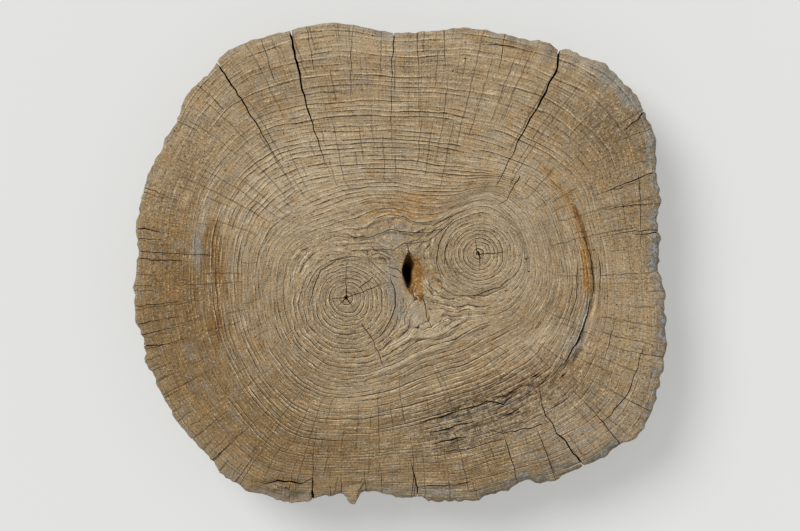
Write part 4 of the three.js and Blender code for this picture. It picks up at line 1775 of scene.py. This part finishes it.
@dataclass(frozen=True)
class Grain:
    """One layer of noise: its lumps for each unit along each axis, its detail and its roughness."""

    lumps: tuple[float, float, float]
    detail: float = 3.0
    rough: float = 0.6

    def over(self, vector: Signal) -> Signal:
        """Lays the noise along a vector."""
        return vector.nodes.noise(vector.scaled(self.lumps), self.detail, self.rough)


@dataclass(frozen=True)
class RayLines:
    """One set of thin lines along the wood rays: their number round the slice and width in millimetres."""

    count: int
    width: float
    shift: float


class Skin:
    """What the slice's skin tells its finish at each point: its attributes and its place."""

    def __init__(self, nodes: Nodes) -> None:
        """Reads the attributes that Slice.mark stores."""
        self.nodes = nodes
        self.growth, self.across, self.along, self.ring = nodes.attribute("growth")
        _, self.pitch, self.spread, self.smooth = nodes.attribute("spacing")
        # The place's third part is the mask of the hollow's painted shade
        _, self.flank, self.fringe, self.hollow = nodes.attribute("place")
        _, self.grey, self.amber, self.brown = nodes.attribute("stain")
        # Pale stains with painted highlights on crests, painted shade in sunk places, and rot
        _, self.pale, self.sunk, self.rot = nodes.attribute("wear")
        # Faces made by cuts, which the finish paints with near-black shade
        cut = nodes.add("ShaderNodeAttribute", attribute_type="GEOMETRY", attribute_name="cut")
        self.cut = Signal(nodes, cut.outputs["Fac"])
        self.spot = Signal(nodes, nodes.add("ShaderNodeTexCoord").outputs["Object"])


@dataclass(frozen=True)
class WeatheredWood:
    """Bare, dry end grain: tan, with ring lines, ray lines, stains, a greyed edge and painted shade in
    cracks.
    """

    body: Colour = (173, 151, 119)
    light: Colour = (232, 210, 172)
    dark: Colour = (70, 52, 30)
    grey: Colour = (150, 146, 136)
    amber: Colour = (164, 119, 56)
    brown: Colour = (121, 94, 56)
    # Pale stain colour, also used for the painted highlights on raised crests
    pale: Colour = (198, 179, 149)
    # Dark grey of the worn edge, used more along the lower side as painted shade
    fringe_dark: Colour = (98, 94, 84)
    fringe_light: Colour = (156, 164, 165)
    # Brown of the hollow's upper wall, darkened as painted shade
    wall: Colour = (104, 68, 32)
    # Darker brown painted into pits and grooves as painted shade
    pit: Colour = (130, 101, 63)
    honey: Colour = (170, 132, 78)
    # Near-black painted shade for the insides of checks, cracks and pinholes and for the depth of the hollow
    crack: Colour = (44, 33, 22)
    flank: Colour = (146, 140, 126)
    groove: Colour = (84, 75, 60)
    rust: Colour = (104, 70, 34)
    strokes: Grain = Grain((4.5, 4.5, 1.5))
    threads: Grain = Grain((14, 14, 3.0), 2.0)
    core_threads: Grain = Grain((60, 60, 7.0), 2.0)
    dashes: Grain = Grain((110, 110, 1.6), 2.0)
    dabs: Grain = Grain((150, 150, 0.34))
    grit: Grain = Grain((620, 620, 620), 2.0, 0.65)
    mottle: Grain = Grain((60, 60, 60))
    crumbs: Grain = Grain((260, 260, 260), 4.0, 0.66)
    blocks: Grain = Grain((52, 52, 1.3), 4.0)
    pitted: Grain = Grain((60, 60, 1.2), 4.0, 0.65)
    wander: Grain = Grain((5, 5, 0.3), 3.0, 0.5)
    vigour: Grain = Grain((4.0, 4.0, 0.9), 3.0, 0.5)
    cloud: Grain = Grain((13, 13, 13), 4.0)
    cells: Grain = Grain((13, 13, 0.45))
    flecks: Grain = Grain((22, 22, 0.9))
    chunks: Grain = Grain((210, 210, 210))
    ragged: Grain = Grain((12, 12, 0.2), 3.0, 0.5)
    fibres: Grain = Grain((64, 64, 9), 6.0, 0.68)
    weather: Grain = Grain((9, 9, 12))
    long_rays: RayLines = RayLines(count=104, width=0.8, shift=0.0)
    short_rays: RayLines = RayLines(count=312, width=0.5, shift=7.3)
    bump_depth: float = 0.8
    roughness: float = 0.88
    specular: float = 0.2

    def build(self) -> bpy.types.Material:
        """Builds the material.

        Returns:
            A material that follows the attributes that the skin carries.
        """
        material = bpy.data.materials.new(SLOT)
        nodes = Nodes(material)
        skin = Skin(nodes)
        long_rays = self.ray_tone(skin, self.long_rays)
        short_rays = self.ray_tone(skin, self.short_rays)
        crumbs = self.crumb_tone(skin)
        tone = self.grain_tone(skin) + crumbs
        fibres = self.fibres.over(self.upright(skin))

        paint = self.stained(skin)
        # Painted shade: pits and grooves that decay let down are painted darker, more so the deeper they are
        paint = paint.coated(self.pit, skin.sunk * self.pitted.over(skin.growth).span(0.36, 0.58, 0.15, 0.8))
        paint = paint.coated(self.light, tone.span(0.0, 1.0, 0.0, 0.9))
        paint = paint.coated(self.dark, tone.span(0.0, -1.0, 0.0, 0.95))
        paint = paint.coated(self.dark, long_rays * (skin.ring.span(18.0, 30.0) * 0.5))
        paint = paint.coated(self.dark, short_rays * (skin.ring.span(28.0, 46.0) * 0.32))
        # Painted shade: the hollow's upper wall is painted dark brown by its depth
        paint = paint.coated(self.wall, skin.hollow.span(0.0, 0.5, 0.0, 0.94))
        paint = self.fringed(skin, paint)
        paint = paint.coated(self.side(skin, fibres), skin.flank)
        # Painted shade: faces made by cuts and the deep part of the hollow are painted near black
        deep = skin.cut.at_least(skin.hollow.span(0.5, 1.0))
        paint = paint.coated(self.crack, deep * 0.9)

        face_bumps = tone + long_rays * -0.6 + short_rays * -0.3 + crumbs * 3.6
        flank_bumps = fibres.centred(3.0) * skin.flank
        bump = nodes.add("ShaderNodeBump")
        bump.inputs["Strength"].default_value = 1.0
        bump.inputs["Distance"].default_value = self.bump_depth * MM
        nodes.feed(bump.inputs["Height"], face_bumps * (1.0 - skin.flank) + flank_bumps)
        nodes.finish({
            "Base Color": paint, "Normal": Signal(nodes, bump.outputs[0]), "Roughness": self.roughness,
            "Specular IOR Level": self.specular,
        })
        return material

    def grain_tone(self, skin: Skin) -> Signal:
        """Draws the grain of the ringed face: fibres, ring lines and grit.

        Args:
            skin: The skin's attributes.

        Returns:
            A tone, less than zero where the wood is dark and greater where it is light.
        """
        ring, growth, steep = skin.ring, skin.growth, skin.along.size()
        side_on = steep.span(0.45, 0.9, 1.0, 0.3) * ring.span(32.0, 48.0)
        tone = self.strokes.over(growth).centred(0.5) + self.threads.over(growth).centred(0.9)
        tone = tone * (1.0 - side_on * 0.6)
        tone = tone + self.dabs.over(growth).centred(1.3).at_most(0.12) * side_on
        tone = tone + self.core_threads.over(growth).centred(1.0) * ring.span(10.0, 20.0, 0.9, 0.0)
        tone = tone + self.dashes.over(growth).centred(0.4)
        across_light = steep.span(0.3, 0.8, 0.78, 1.55) - 1.0
        contrast = ring.span(10.0, 14.0, 0.85, 0.66) * (across_light * ring.span(12.0, 16.0) + 1.0)
        contrast = contrast * (1.0 - side_on * 0.3) * ring.span(30.0, 56.0, 1.0, 0.58)
        tone = tone + self.ring_tone(skin) * contrast
        tone = tone * (1.0 - skin.smooth * 0.75)
        return tone + self.grit.over(skin.spot).centred(1.05) + self.mottle.over(skin.spot).centred(0.3)

    def crumb_tone(self, skin: Skin) -> Signal:
        """Draws the crumbs and blocks that rotten wood falls into."""
        crumbs = self.crumbs.over(skin.spot).centred(1.3) + self.blocks.over(skin.growth).centred(1.1)
        return (crumbs + 0.22) * skin.rot

    def ring_tone(self, skin: Skin) -> Signal:
        """Draws the ring lines: a dark line and a light one for each ring, and more where the rings are wide.

        Args:
            skin: The skin's attributes.

        Returns:
            A tone from about -1 in a dark line to 1 in a light one.
        """
        waved = self.wander.over(skin.growth) * 1.6 + skin.ring
        total = self.line_pairs(skin, waved, 1.0) * skin.pitch.span(9.0, 14.0, 1.0, 0.0)
        for factor, low, high in ((2.0, 5.5, 8.0), (4.0, 10.0, 14.0)):
            weight = skin.pitch.span(low, high) * skin.pitch.span(3.5 * low, 4.5 * low, 1.0, 0.3)
            total = total + self.line_pairs(skin, waved * factor, factor) * weight
        return total

    def line_pairs(self, skin: Skin, phase: Signal, shift: float) -> Signal:
        """Draws one set of line pairs, each as strong as its own draw and broken up along its length.

        Args:
            skin: The skin's attributes.
            phase: The ring number, or a multiple of it.
            shift: Sets one set of draws apart from another.

        Returns:
            The tone.
        """
        saw = phase.fraction()
        vigour = self.vigour.over(skin.growth).span(0.36, 0.6, 0.25, 1.2)
        strength = skin.nodes.drawn(phase.floor() + shift).span(0.0, 1.0, 0.4, 1.1) * vigour
        dark_line = (saw - 0.2).size().span(0.0, 0.14, 1.0, 0.0)
        light_line = (saw - 0.48).size().span(0.0, 0.18, 1.0, 0.0)
        return (light_line - dark_line * 1.25) * strength

    def ray_tone(self, skin: Skin, rays: RayLines) -> Signal:
        """Draws thin dark lines along the wood rays.

        Args:
            skin: The skin's attributes.
            rays: The number and the width of the lines.

        Returns:
            1 in the middle of a line and 0 off it.
        """
        nodes = skin.nodes
        bearing = nodes.math("ARCTAN2", skin.along, skin.across)
        place = bearing * (rays.count / (2 * math.pi)) + (500.0 + rays.shift)
        jog = nodes.noise(nodes.joined(place * 0.6, skin.ring * 0.3), dimensions="2D")
        place = jog * 0.28 + place
        cell = place.floor()
        off_middle = (place.fraction() - nodes.drawn(cell).span(0.0, 1.0, 0.2, 0.8)).size()
        apart = off_middle * (skin.spread * (2 * math.pi / rays.count))
        line = apart.span(0.3 * rays.width, rays.width, 1.0, 0.0)
        length = nodes.noise(nodes.joined(cell * 5.17, skin.ring * 0.075), detail=1.0, dimensions="2D")
        return line * length.span(0.5, 0.57)

    def stained(self, skin: Skin) -> Signal:
        """Mixes the wood's body colour with its stains.

        Args:
            skin: The skin's attributes.

        Returns:
            The colour before any line or grain.
        """
        cells = self.cells.over(skin.growth)
        flecks = self.flecks.over(skin.growth)
        paint = skin.nodes.mix(self.cloud.over(skin.spot).span(0.35, 0.7, 0.0, 0.4), self.body, self.brown)
        paint = paint.coated(self.brown, skin.brown * 0.8)
        # Pale stains, and painted highlights on crumbly crests
        paint = paint.coated(self.pale, skin.pale * 0.7)
        paint = paint.coated(self.grey, cells.span(0.52, 0.66, 0.0, 0.32))
        paint = paint.coated(self.honey, cells.span(0.48, 0.34, 0.0, 0.4))
        paint = paint.coated(self.honey, flecks.span(0.54, 0.68, 0.0, 0.4))
        flecked = skin.amber * flecks.span(0.35, 0.6, 0.25, 1.0)
        paint = paint.coated(self.amber, flecked.at_least(skin.amber.span(0.8, 1.0, 0.0, 0.95)))
        paint = paint.coated(self.rust, skin.amber * skin.brown * 0.85)
        paint = paint.coated(self.grey, skin.grey * cells.span(0.35, 0.6, 0.45, 1.0))
        rotten = skin.nodes.mix(flecks.span(0.42, 0.58), self.amber, self.grey)
        return paint.coated(rotten, skin.rot * 0.35)

    def fringed(self, skin: Skin, paint: Signal) -> Signal:
        """Greys the worn edge in ragged chunks, with painted shade along its lower side.

        Args:
            skin: The skin's attributes.
            paint: The colour so far.

        Returns:
            The colour with its grey edge.
        """
        chunks = self.chunks.over(skin.spot)
        # Painted shade: the edge's chunks turn darker grey along the lower side, away from the light
        chunks_and_lower_shade = skin.along.at_most(0.0) * 0.12 + chunks
        edge = skin.nodes.mix(chunks_and_lower_shade.span(0.36, 0.62), self.fringe_dark, self.fringe_light)
        covered = skin.fringe * chunks.span(0.3, 0.5, 0.55, 0.9)
        return paint.coated(edge, covered * self.ragged.over(skin.growth).span(0.36, 0.56, 0.25, 1.0))

    def upright(self, skin: Skin) -> Signal:
        """Gives the flank's noise its direction: the growth round it and the height up it."""
        across, along, _ = skin.nodes.split(skin.growth)
        _, _, height = skin.nodes.split(skin.spot)
        return skin.nodes.joined(across, along, height)

    def side(self, skin: Skin, fibres: Signal) -> Signal:
        """Colours the flank: weathered grey fibres that run up the trunk.

        Args:
            skin: The skin's attributes.
            fibres: The fibres, from 0 in a furrow to 1 on a ridge.

        Returns:
            The flank's colour.
        """
        side = skin.nodes.mix(fibres.span(0.26, 0.6, 0.15, 1.0), self.groove, self.flank)
        side = side.coated(self.light, fibres.span(0.58, 0.72, 0.0, 0.3))
        side = side.coated(self.brown, self.weather.over(self.upright(skin)).span(0.4, 0.7, 0.0, 0.5))
        return side.coated(self.grey, self.mottle.over(skin.spot).span(0.5, 0.7, 0.0, 0.35))


@dataclass
class Studio:
    """A plain pale floor, soft light from the upper left and a camera straight above."""

    lens: float = 100.0
    camera_shift: float = -2.25
    distance: float = 2.48
    sensor: float = 36.0
    floor_size: float = 12.0
    floor_colour: Colour = (225, 225, 223)
    floor_glow: float = 0.42
    sun_bearing: float = 138.0
    sun_elevation: float = 46.0
    sun_width: float = 32.0
    sun_strength: float = 2.35
    fill: float = 0.5

    def camera(self, top: float) -> None:
        """Places the camera over the slice.

        Args:
            top: The height of the ringed face, in metres.
        """
        data = bpy.data.cameras.new("camera")
        data.lens = self.lens
        data.sensor_width = self.sensor
        camera = bpy.data.objects.new("camera", data)
        camera.location = (0.0, self.camera_shift * MM, top + self.distance)
        bpy.context.scene.collection.objects.link(camera)
        bpy.context.scene.camera = camera

    def floor(self) -> bpy.types.Object:
        """Lays the floor under the slice: it glows a little, so that shadows on it stay light."""
        bm = bmesh.new()
        bmesh.ops.create_grid(bm, x_segments=1, y_segments=1, size=self.floor_size / 2)
        floor = link("floor", finished(bm, "floor"))
        material = bpy.data.materials.new("floor")
        paint = light_of(self.floor_colour)
        lit = tuple((1.0 - self.floor_glow) * part for part in paint[:3])
        Nodes(material).finish({
            "Base Color": (*lit, 1.0), "Roughness": 1.0, "Specular IOR Level": 0.0,
            "Emission Color": paint, "Emission Strength": self.floor_glow,
        })
        floor.data.materials.append(material)
        return floor

    def lights(self) -> None:
        """Sets a soft sun at the upper left and fills the rest with even light."""
        data = bpy.data.lights.new("key", "SUN")
        data.energy = self.sun_strength
        data.angle = math.radians(self.sun_width)
        key = bpy.data.objects.new("key", data)
        bearing, elevation = math.radians(self.sun_bearing), math.radians(self.sun_elevation)
        flat = math.cos(elevation)
        towards = Vector((flat * math.cos(bearing), flat * math.sin(bearing), math.sin(elevation)))
        key.rotation_euler = (-towards).to_track_quat("-Z", "Y").to_euler()
        bpy.context.scene.collection.objects.link(key)
        world = bpy.data.worlds.new("studio")
        world.use_nodes = True
        background = world.node_tree.nodes["Background"]
        background.inputs["Color"].default_value = (1.0, 1.0, 1.0, 1.0)
        background.inputs["Strength"].default_value = self.fill
        bpy.context.scene.world = world
        bpy.context.scene.view_settings.view_transform = "Standard"


def main() -> None:
    """Builds the slice, dresses it and sets the studio round it."""
    logging.basicConfig(level=logging.INFO, format="%(name)s: %(message)s")
    growth = GrowthField()
    LOG.info("growth field: %s points", growth.ring_grid.shape)
    relief = Relief()
    disc = Slice(growth, relief).build()
    disc.data.materials.append(WeatheredWood().build())
    disc.data.set_sharp_from_angle(angle=math.radians(SHARP_ANGLE))
    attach(disc, BODY)
    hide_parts(NODE)
    disc.data.calc_loop_triangles()
    LOG.info("%s: %d triangles", disc.name, len(disc.data.loop_triangles))
    studio = Studio()
    studio.camera(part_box(NODE)[1].z)
    studio.floor()
    studio.lights()


if __name__ == "__main__":
    main()
